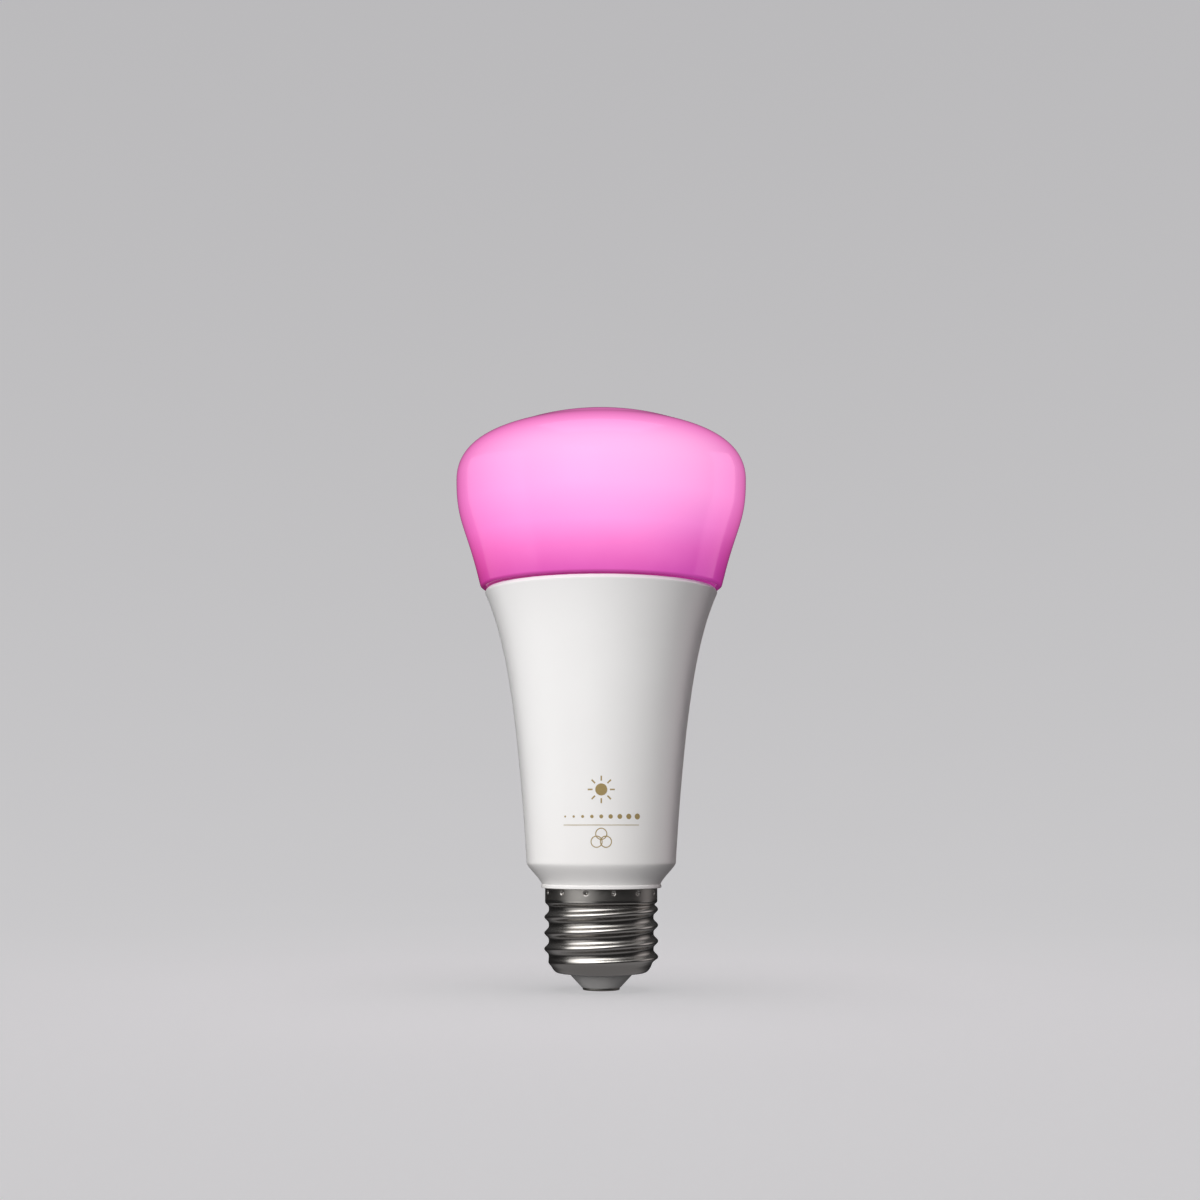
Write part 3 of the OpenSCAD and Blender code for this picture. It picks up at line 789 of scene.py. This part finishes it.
def worn_contact():
    """Tinned brass with rings of rubbing from the lampholder's tongue."""
    metal = Finish("worn_contact", Metallic=1.0)
    radius = metal.place().radius()
    scuff = metal.place((1, 0.12, 1)).noise(0.7, 5, 0.7)
    rubbed = (1 - radius.between(1.2, 3.2)) * scuff
    return metal.surface(
        rubbed.mix((0.42, 0.40, 0.37), (0.72, 0.69, 0.63)),
        0.38 - rubbed * 0.2 + scuff * 0.1, scuff, 0.012)


insulator = make_insulator()
dress(insulator, grey_insulator())
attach(insulator, "root")
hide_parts("cap_insulator")
contact = make_contact()
dress(contact, worn_contact())
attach(contact, "root")
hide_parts("centre_contact")
print("cap end: insulator and contact")

# %% [markdown]
# ## Finishes for the pieces inside
# Everything under the globe and the housing already has its final shape in the measured
# model, so each of those pieces keeps its mesh and takes a finish. Many of them differ by
# position: a lens sits on a package, a sleeve ends at a metal rim, legs leave a resin body.
# A mask made from distances, in millimetres, tells one material where each part begins.

# %% Dressing a measured piece
dressed = []


def dress_nodes(**finishes):
    """Gives each measured piece, by name, its finish."""
    for name, finish in finishes.items():
        dress(nodes[name], finish)
        dressed.append(name)


TINNED = "#c4c6ca"
print("board is", [round(v, 1) for v in foot_and_top("led_board")], "mm up")

# %% [markdown]
# ### Moulded plastic
# Headers, the liner and the bobbin are moulded. The mould's surface is spark-eroded, which
# leaves a fine even grain, and the melt's flow leaves faint clouds drawn out along the part.
# One function makes them all, because only the tone, the gloss and the grain differ.

# %% Moulded pieces
def moulded(name, dark, light, rough=0.42, grain=0.2, cloud=4.0, depth=0.01):
    resin = Finish(name, IOR=1.5)
    flow = resin.place((1, 1, 0.35)).noise(cloud, 4)
    skin = resin.place().noise(grain, 2, 0.6)
    return resin.surface(
        flow.mix(dark, light), rough + flow * 0.1 - skin * 0.08, skin + flow * 0.5, depth)


dress_nodes(driver_liner=moulded("liner_plastic", "#d6d5cd", "#e5e4dd", 0.38))
black_moulding = moulded("black_moulding", "#141416", "#222123", 0.45, 0.12)
dress_nodes(link_header=black_moulding, radio_header=black_moulding,
            transformer_bobbin=moulded("phenolic", "#181514", "#2c2622", 0.5, 0.3, 1.2))
print("moulded:", ", ".join(dressed))

# %% [markdown]
# ### Silicone and film
# The bead that holds the globe is poured silicone: soft edges, a little light inside it and
# a skin that picks up dust. The thermal pad is silicone too, but filled and reinforced with
# a glass cloth that shows through as a fine weave. The reflector is a white micro-foamed
# film, matt, with a grain too fine to see as more than a sheen.

# %% Silicone, pad and film
def silicone_bead():
    bead = Finish("silicone", IOR=1.41, Subsurface_Weight=0.25)
    dust = bead.place().noise(0.5, 4).between(0.55, 0.75)
    return bead.surface(
        dust.mix("#e2e2de", "#c9c6be"), 0.28 + dust * 0.35,
        bead.place().noise(1.8, 3), 0.08)


def woven_pad():
    pad = Finish("thermal_pad", IOR=1.45)
    place = pad.place()
    threads = place.x.wave(0.55) * place.y.wave(0.55)
    cloud = place.noise(5, 4)
    tone = cloud.mix("#708ca8", "#84a0b8")
    return pad.surface(
        (threads * 0.3 + 0.15).mix(tone, "#b0c2ce"), 0.6 + threads * 0.15, threads, 0.03)


def white_film():
    film = Finish("reflector_film", IOR=1.5, Coat_Weight=0.15, Coat_Roughness=0.4)
    grain = film.place().noise(0.09, 2, 0.7)
    cloud = film.place().noise(11, 3)
    return film.surface(cloud.mix("#f1f1ef", "#f9f9f8"), 0.55 + grain * 0.2, grain, 0.006)


dress_nodes(globe_seal=silicone_bead(), thermal_pad=woven_pad(), reflector_sheet=white_film())
print("silicone, pad and film done")

# %% [markdown]
# ### Sheet metal and screws
# The spreader is deep-drawn aluminium. Drawing leaves fine scratches along the pull, and
# handling leaves dull clouds. The screws are zinc-plated and turned, so their heads carry
# rings, and the passivation drifts between straw and blue. The radio's shield is tinned
# steel with rows of small vents. The same ideas repeat: a bare tone, a direction, wear.

# %% Metals
def drawn_aluminium():
    metal = Finish("drawn_aluminium", Metallic=1.0)
    scratch = metal.place((5, 5, 0.12)).noise(1, 4, 0.6)
    cloud = metal.place().noise(8, 5, 0.6)
    return metal.surface(
        cloud.mix("#babcbe", "#d1d3d5"), 0.26 + scratch * 0.16 + cloud * 0.1,
        scratch, 0.008)


def zinc_screws():
    zinc = Finish("zinc_plate", Metallic=1.0)
    place = zinc.place()
    off = place.nearest(3, 16, math.radians(30))
    rings = off.wave(0.16)
    drift = place.noise(1.6, 3)
    straw = drift.mix("#c4c0b2", "#b2bccc")
    # Painted shade: the middle of each screw head is mixed to a darker grey.
    return zinc.surface(
        (1 - off.between(0.3, 1.5)).mix(straw, "#969698"), 0.24 + drift * 0.12,
        rings, 0.01)


def vented_shield():
    tin = Finish("tinned_steel", Metallic=1.0)
    place = tin.place()
    x, _, z = middle("radio_shield")
    dots = (place.x - x).flat(place.z - z).dots(1.8, 0.0)
    # Painted shade: each vent is painted near black for the shade inside the hole; the same mask
    # also roughens and sinks it.
    vent_and_hole_shade = 1 - dots.between(0.18, 0.24)
    smear = tin.place((1, 1, 0.3)).noise(1.5, 5, 0.6)
    tone = smear.mix("#b0b0ae", "#cdcece")
    return tin.surface(
        vent_and_hole_shade.mix(tone, "#1a1a1c"), 0.25 + smear * 0.2 + vent_and_hole_shade * 0.3, smear * 0.3 - vent_and_hole_shade, 0.05)


def gold_flash():
    gold = Finish("gold_flash", Metallic=1.0)
    place = gold.place()
    draw = gold.place((9, 9, 0.3)).noise(1, 3)
    solder_z = 83.8
    soldered = place.z.between(solder_z, solder_z - 0.6)
    plated = draw.mix("#d6b060", "#e6c578")
    return gold.surface(
        soldered.mix(plated, TINNED), 0.2 + draw * 0.12 + soldered * 0.1, draw, 0.006)


def copper_track():
    copper = Finish("antenna_copper", Metallic=1.0, Coat_Weight=0.6, Coat_Roughness=0.12)
    tarnish = copper.place().noise(0.9, 5, 0.65)
    return copper.surface(
        tarnish.mix("#cb804a", "#aa6034"), 0.25 + tarnish * 0.25, tarnish, 0.01)


dress_nodes(heat_spreader=drawn_aluminium(), board_screws=zinc_screws(),
            radio_shield=vented_shield(), link_pins=gold_flash(), antenna=copper_track())
print("metals done")

# %% [markdown]
# ### Circuit boards
# A board is a flat core under a thin solder mask. Tracks are copper under the mask, so they
# are slightly raised and slightly lighter. They run in bundles: stripes one way where a soft
# noise is high and the other way where it is low, with bare patches from a second noise.
# Joints shine through as tinned dots, and the sawn edge shows the core. On the round LED
# board the same pattern is wrapped into rings and spokes, and the core is aluminium.

# %% Boards
white_ring, colour_ring = (20, 20), (12, 11.5)  # how many LEDs, and the ring's radius


def tracks(across, up, pitch, width):
    """Bundles of parallel copper tracks: some patches run across and the others run up."""
    patch = across.flat(up).noise(pitch * 3, 0).between(0.5, 0.51)
    bare = up.flat(across).noise(pitch * 2, 0).between(0.57, 0.56)
    thin = 1 - 2 * width / pitch
    level = up.wave(pitch).between(thin, thin + 0.06)
    upright = across.wave(pitch).between(thin, thin + 0.06)
    return (level * patch + upright * (1 - patch)) * bare


def upright_board(name, node, dark, light, copper, pitch, thick, joints):
    board = Finish(name, IOR=1.55, Coat_Weight=0.5, Coat_Roughness=0.12)
    place = board.place()
    x, z = place.x, place.z
    lines = tracks(x, z, pitch, pitch * 0.16)
    pour = x.flat(z).noise(pitch * 4, 1).between(0.58, 0.6)
    weave = x.wave(0.4) * z.wave(0.4)
    green = (weave * 0.25 + 0.3).mix(dark, light)
    green = lines.highest(pour * 0.6).mix(green, copper)
    dots = x.flat(z).dots(joints, 0.75)
    joint = 1 - (dots * joints).between(0.42, 0.5)
    depth = (place.y - middle(node)[1]).size()
    edge = 1 - depth.between(thick / 2 - 0.1, thick / 2 - 0.03)
    tone = joint.mix(green, TINNED)
    fibre = board.place((1, 8, 1)).noise(1, 3).mix("#969260", "#bab482")
    return board.surface(
        edge.mix(tone, fibre), 0.38 - joint * 0.16 + edge * 0.4,
        lines * 0.5 + pour * 0.3 + joint * 1.5 + weave * 0.08, 0.05, Metallic=joint * (1 - edge))


def round_board():
    board = Finish("white_mask", IOR=1.55, Coat_Weight=0.3, Coat_Roughness=0.2)
    place = board.place()
    around, out = place.angle() * 16, place.radius()
    lines = tracks(around, out, 1.9, 0.35)
    pads = 1 - place.nearest(*white_ring).lowest(place.nearest(*colour_ring)).between(2.0, 2.08)
    top_z = foot_and_top("led_board")[1]
    top = place.z.between(top_z - 0.16, top_z - 0.1)
    mask = lines.mix("#e7e9e5", "#dbded9")
    mask = pads.mix(mask, TINNED)
    core = board.place((1, 1, 6)).noise(1, 3).mix("#a8aaac", "#c6c8ca")
    return board.surface(
        top.mix(core, mask), 0.34 + place.noise(3, 3) * 0.12,
        lines * 0.6 - pads * 0.4, 0.04, Metallic=1 - top * (1 - pads))


dress_nodes(
    driver_board=upright_board("green_mask", "driver_board", "#124a28", "#1c5e34", "#3c804c",
                               1.5, 1.2, 3.6),
    radio_board=upright_board("dark_green_mask", "radio_board", "#0c3222", "#12402c", "#286242",
                              0.9, 1.0, 3.0),
    led_board=round_board())
print("boards done")

# %% [markdown]
# ### LEDs
# Each LED is a white package with two tinned ends and a lens in the middle. The whites are
# filled with phosphor, grainy and egg-yolk yellow, warmer for the warm ones. The coloured
# ones have a clear lens over a small bright die. The distance to the nearest place on the
# ring tells package from lens, so one finish serves every LED on that ring.

# %% LED packages
def led_finish(name, ring, rim, heart, grain):
    led = Finish(name, IOR=1.5)
    place = led.place()
    off = place.nearest(*ring)
    lens_r, die_r = 1.2, 0.3
    lens = 1 - off.between(lens_r, lens_r + 0.08)
    die = 1 - off.between(die_r, die_r + 0.45)
    ends = (place.radius() - ring[1]).size().between(1.22, 1.26) * (1 - lens)
    speck = place.noise(grain, 3, 0.7)
    body = speck.mix("#e8e7e2", "#f3f3f0")
    body = ends.mix(body, TINNED)
    fill = die.mix((speck * 0.5).mix(rim, "#ffffff"), heart)
    return led.surface(
        lens.mix(body, fill), 0.45 - lens * 0.15 + speck * 0.1, speck * 0.3 + lens, 0.02,
        Metallic=ends, Coat_Weight=lens)


dress_nodes(
    warm_white_leds=led_finish("warm_white_led", white_ring, "#fac442", "#ffd660", 0.1),
    cool_white_leds=led_finish("cool_white_led", white_ring, "#eede54", "#f6ec82", 0.1),
    red_leds=led_finish("red_led", colour_ring, "#d66054", "#c41814", 0.5),
    green_leds=led_finish("green_led", colour_ring, "#96ce96", "#24963e", 0.5),
    blue_leds=led_finish("blue_led", colour_ring, "#84a0de", "#1e42c4", 0.5))
print("LEDs done")

# %% [markdown]
# ### Cans, dips and bands
# An electrolytic capacitor is an aluminium can in a shrunk sleeve. The sleeve stops at the
# rim, the can's end is scored with a cross, and a pale stripe of dashes runs down the
# negative side. The film capacitor is wrapped in yellow tape and potted at its ends. The
# varistor is dipped in blue resin, which sets with a pebbled skin. The resistor's value is
# told by painted bands, so the height alone picks its colour.

# %% Capacitors, varistor and resistor
def sleeved_can(name, node, sleeve, stripe, side):
    can = Finish(name, IOR=1.52)
    legs_h = 2.5
    foot, top = foot_and_top(node)
    foot += legs_h
    place = can.place() - (middle(node)[0], middle(node)[1], 0)
    x, y, z = place.x, place.y, place.z
    out = place.radius()
    end = z.between(top - 0.34, top - 0.28) * (1 - out.between(4.15, 4.25))
    cross = 1 - x.size().lowest(y.size()).between(0.1, 0.25)
    bung = z.between(foot + 0.05, foot - 0.05)
    wires = z.between(foot - 0.05, foot - 0.2)
    wrinkle = can.place((1, 1, 0.25)).noise(1.5, 3)
    band = (y * side).between(4.4, 4.46)
    dash = band * z.wave(3.2).between(0.3, 0.4) * (1 - x.size().between(0.5, 0.6))
    film = band.mix((wrinkle * 0.25).mix(sleeve, stripe), stripe)
    film = dash.mix(film, sleeve)
    metal = end.highest(wires)
    film = bung.mix(film, "#161414")
    return can.surface(metal.mix(film, TINNED), 0.3 + wrinkle * 0.15 + bung * 0.2,
                       wrinkle * 0.2 - end * cross, 0.12, Metallic=metal)


def taped_block():
    block = Finish("yellow_tape", IOR=1.5)
    foot, top = foot_and_top("film_capacitor")
    place = block.place()
    z = place.z
    ends = z.between(foot + 0.9, foot + 0.7).highest(z.between(top - 0.9, top - 0.7))
    wires = place.y.between(0.98, 0.9)
    wrap = z.wave(3.7)
    cloud = place.noise(1.4, 4)
    tape = cloud.mix("#d6b22c", "#e8c848")
    resin = cloud.mix("#c49e34", "#d6b654")
    return block.surface(
        wires.mix(ends.mix(tape, resin), TINNED), 0.28 + ends * 0.25 + cloud * 0.1,
        wrap * 0.4 + cloud * ends, 0.06, Metallic=wires)


def dipped_disc():
    dip = Finish("blue_dip", IOR=1.53, Coat_Weight=0.3, Coat_Roughness=0.15)
    place = dip.place()
    wires = place.y.between(-1.02, -0.96)
    pebble = place.cells(0.7)
    cloud = place.noise(2, 4)
    blue = cloud.mix("#204a94", "#2c5cac")
    return dip.surface(
        wires.mix(blue, TINNED), 0.32 + pebble * 0.15, pebble, 0.08, Metallic=wires)


def banded_resistor():
    coat = Finish("resistor_coat", IOR=1.5)
    coat_middle = (3.5, 2.9, 37.25)
    place = coat.place() - coat_middle
    z = place.z
    shade = place.noise(1.1, 4)
    tone = shade.mix("#689280", "#7aa490")
    for height, colour in ((-2.2, "#b01e1c"), (-1.0, "#b01e1c"),
                           (0.2, "#1c1818"), (2.0, "#be983e")):
        band = 1 - (z - height).size().between(0.3, 0.36)
        tone = band.mix(tone, colour)
    wires = 1 - place.radius().between(0.38, 0.44)
    bent = z.size().between(3.8, 3.85)
    wires = wires.highest(bent)
    return coat.surface(
        wires.mix(tone, TINNED), 0.42 - wires * 0.16 + shade * 0.12, shade, 0.05,
        Metallic=wires)


dress_nodes(
    input_capacitor=sleeved_can("black_sleeve", "input_capacitor", "#181a24", "#acb0b8", -1),
    output_capacitor=sleeved_can("green_sleeve", "output_capacitor", "#123e32", "#c4b880", 1),
    film_capacitor=taped_block(), surge_varistor=dipped_disc(),
    fusible_resistor=banded_resistor())
print("cans, dips and bands done")

# %% [markdown]
# ### Windings and ferrite
# Enamelled wire lies in rows, so a winding is a fine ridge that climbs as it goes round,
# with the enamel's orange gloss over it. Ferrite is a fired black ceramic: matt, speckled
# where it is ground, with a glue line where the two halves meet. The transformer's winding
# is hidden under turns of yellow polyester tape, whose edges show as thin steps.

# %% Choke and transformer
def wound_choke():
    choke = Finish("enamelled_copper", Coat_Weight=0.7, Coat_Roughness=0.1)
    centre, axis_y, wire_d = middle("filter_choke"), -4.7, 0.42
    place = choke.place() - (centre[0], axis_y, centre[2])
    z = place.z
    wire = (z + place.angle() * (wire_d / math.tau)).wave(wire_d)
    flange = z.size().between(3.1, 3.16)
    fleck = place.noise(0.25, 3, 0.7)
    # Painted highlight and shade: each turn of wire is lighter along its ridge and darker in the
    # groove between turns; the same ridge drives the bump.
    enamel = wire.mix("#703416", "#c97036")
    ferrite = fleck.mix("#282626", "#3e3c3c")
    return choke.surface(
        flange.mix(enamel, ferrite), 0.28 + flange * 0.35 + fleck * 0.08,
        wire * (1 - flange) + fleck * 0.15, 0.14, Metallic=1 - flange)


def ferrite_core():
    core = Finish("ferrite", IOR=1.9)
    place = core.place()
    _, _, mid_z = middle("transformer_core")
    fleck = place.noise(0.14, 3, 0.75)
    glue = 1 - (place.z - mid_z).size().between(0.05, 0.12)
    chip = place.noise(1.3, 4).between(0.66, 0.7)
    tone = fleck.mix("#2c2c2e", "#464648")
    tone = glue.mix(tone, "#96845c")
    return core.surface(chip.mix(tone, "#5c5c5e"), 0.62 - glue * 0.3 + fleck * 0.1,
                        fleck * 0.3 + glue - chip, 0.03)


def taped_winding():
    tape = Finish("polyester_tape", IOR=1.6, Coat_Weight=0.4, Coat_Roughness=0.08)
    place = tape.place()
    steps = (place.z + place.noise(6, 2) * 0.5).wave(2.1).between(0.9, 0.98)
    ridges = place.z.wave(0.3)
    cloud = place.noise(2.5, 3)
    amber = cloud.mix("#cea620", "#e6c23a")
    return tape.surface(
        (steps * 0.5).mix(amber, "#8c5c14"), 0.2 + cloud * 0.14, ridges * 0.25 + steps, 0.03)


dress_nodes(filter_choke=wound_choke(), transformer_core=ferrite_core(),
            transformer_winding=taped_winding())
print("windings done")

# %% [markdown]
# ### Resin packages
# Chips and power parts are pressed in black filled resin with a matt skin. A small dimple
# marks the first leg, a diode has a pale band at its cathode, and the legs are tinned. The
# legs reach beyond the body, so the height from the package's middle separates them.

# %% Packages
def package_finish(name, node, body_h, dimple_at=None, band_from=None):
    chip = Finish(name, IOR=1.55)
    centre = middle(node)
    place = chip.place() - centre
    x, z = place.x, place.z
    legs = z.size().between(body_h / 2 + 0.02, body_h / 2 + 0.06)
    skin = place.noise(0.1, 3, 0.7)
    tone = skin.mix("#1a1a1c", "#2c2c2e")
    height = skin * 0.3
    if dimple_at:
        u, v = x - dimple_at[0], z - dimple_at[1]
        dimple = 1 - ((u * u + v * v) ** 0.5).between(0.26, 0.36)
        height = height - dimple
    if band_from is not None:
        band = z.between(band_from, band_from + 0.05) * (1 - legs)
        tone = band.mix(tone, "#b0b2b4")
    return chip.surface(
        legs.mix(tone, TINNED), 0.55 - legs * 0.28 + skin * 0.12, height, 0.05,
        Metallic=legs)


dress_nodes(
    driver_chip=package_finish("chip_resin", "driver_chip", 4, dimple_at=(-1.8, 1.3)),
    bridge_rectifier=package_finish("rectifier_resin", "bridge_rectifier", 4,
                                    dimple_at=(-1.7, 1.3)),
    switching_transistor=package_finish("transistor_resin", "switching_transistor", 6.2,
                                        dimple_at=(0, 2.2)),
    output_diode=package_finish("diode_resin", "output_diode", 4.6, band_from=1.3))
print("packages done")

# %% [markdown]
# ### Leads
# Two insulated wires go down the neck, brown to the contact and blue to the shell. Their
# PVC is drawn through a die, which leaves long faint lines, and each end is stripped and
# tinned where it is soldered.

# %% Leads
def insulated_lead(name, node, dark, light):
    lead = Finish(name, IOR=1.54)
    foot, top = foot_and_top(node)
    place = lead.place()
    z = place.z
    bare = z.between(foot + 1.4, foot + 1.2).highest(z.between(top - 1.4, top - 1.2))
    draw = lead.place((4, 4, 0.15)).noise(1, 3)
    strand = (place.x + z).wave(0.45)
    cover = draw.mix(dark, light)
    return lead.surface(
        bare.mix(cover, TINNED), 0.36 + draw * 0.14, draw * 0.3 + strand * bare, 0.05,
        Metallic=bare)


dress_nodes(live_lead=insulated_lead("brown_pvc", "live_lead", "#523020", "#623c2a"),
            neutral_lead=insulated_lead("blue_pvc", "neutral_lead", "#284e96", "#3660ac"))
replaced = {"globe", "housing", "screw_shell", "cap_insulator", "centre_contact"}
print("dressed", len(dressed), "of", len(nodes) - len(replaced), "measured pieces; left:",
      sorted(set(nodes) - set(dressed) - replaced))

# %% [markdown]
# ## The printed mark
# The front of the housing carries a small pad-printed mark in a sand-gold ink. Here it is a
# plain lighting pictogram with no letters: a sun, a dimming scale and three colour rings.
# Ink is a thin film, so each shape is drawn flat, then wrapped onto the flare as a film a
# few hundredths of a millimetre thick.

# %% Ink shapes
def disc(cx, cz, r, hole=0.0, steps=40):
    """A flat disc or ring as quads: (points, faces) in millimetres across and up."""
    points, faces = [], []
    for rr in (hole, (hole + r) / 2, r):
        for k in range(steps):
            a = math.tau * k / steps
            points.append((cx + rr * math.cos(a), cz + rr * math.sin(a)))
    for ring in (0, 1):
        for k in range(steps):
            m = (k + 1) % steps
            a, b = ring * steps, (ring + 1) * steps
            faces.append((a + k, b + k, b + m, a + m))
    return points, faces


def bar(cx, cz, w, h, tilt=0.0):
    """A flat bar cut across into short lengths, so that it can wrap round the housing."""
    cuts = max(2, int(max(w, h) / 0.6))
    c, s = math.cos(tilt), math.sin(tilt)
    points, faces = [], []
    for i in range(cuts + 1):
        for j in (-0.5, 0.5):
            x, z = ((i / cuts - 0.5) * w, j * h)
            points.append((cx + x * c - z * s, cz + x * s + z * c))
    for i in range(cuts):
        faces.append((2 * i, 2 * i + 2, 2 * i + 3, 2 * i + 1))
    return points, faces


def mark_shapes():
    sun_z, scale_z, line_z, rings_z, ring_r = 45.6, 39.6, 37.7, 34.0, 1.35
    shapes = [disc(0, sun_z, ring_r, 0.02)]
    for k in range(8):
        a = math.tau * k / 8
        shapes.append(bar(2.5 * math.cos(a), sun_z + 2.5 * math.sin(a), 1.1, 0.34, a))
    for i in range(9):
        shapes.append(disc((i - 4) * 2.1, scale_z, 0.22 + 0.055 * i, 0.02, 24))
    shapes.append(bar(0, line_z, 17.6, 0.16))
    for x, up in ((-1.05, 0), (1.05, 0), (0, 1.75)):
        shapes.append(disc(x, rings_z + up, ring_r, 1.13))
    return shapes


def make_mark():
    film, sunk = 0.025, 0.04
    verts, faces = [], []
    for points, quads in mark_shapes():
        first, n = len(verts), len(points)
        for lift in (film, -sunk):
            for across, z in points:
                a = across / body_radius(z) - math.pi / 2
                verts.append(point(body_radius(z) + lift, a, z))
        edges = {}
        for q in quads:
            faces.append(tuple(first + i for i in q))
            faces.append(tuple(first + n + i for i in reversed(q)))
            for i in range(4):
                e = (q[i], q[(i + 1) % 4])
                if e[::-1] in edges:
                    del edges[e[::-1]]
                else:
                    edges[e] = True
        faces += [(first + a, first + n + a, first + n + b, first + b) for a, b in edges]
    return new_piece("printed_mark", verts, faces, sharp_deg=60)


def gold_ink():
    ink = Finish("sand_gold_ink", Metallic=0.25, IOR=1.45)
    speck = ink.place().noise(0.12, 3)
    return ink.surface(speck.mix("#a38c5c", "#bea876"), 0.4 + speck * 0.15, speck, 0.004)


mark = make_mark()
dress(mark, gold_ink())
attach(mark, "root")
print("printed mark:", len(mark.data.polygons), "faces")

# %% [markdown]
# ## Light for the cap alone
# Bare metal shows nothing but what it mirrors, so a cap is lit on its own in a product
# picture. Light linking lets four softboxes reach only the cap, and keeps the side lights of
# the housing off it. Each of the cap's side lights has a narrow spread, so that its mirror
# image fades out at the edges. Only the overhead softbox reaches the floor, so it stays even.

# %% Link the lights
def link_light(light, pieces, state):
    group = bpy.data.collections.new(light.name + "_pieces")
    for piece in pieces:
        group.objects.link(piece)
    for entry in group.collection_objects:
        entry.light_linking.link_state = state
    light.light_linking.receiver_collection = group


cap_pieces = [shell, insulator, contact]
for light in cap_lights:
    link_light(light, cap_pieces, "INCLUDE")
link_light(back, [housing, mark], "INCLUDE")
link_light(key, [bowl], "EXCLUDE")
link_light(left_wall, cap_pieces + [bowl], "EXCLUDE")
link_light(right_edge, cap_pieces + [bowl], "EXCLUDE")
print("cap lit by", [light.name for light in cap_lights])
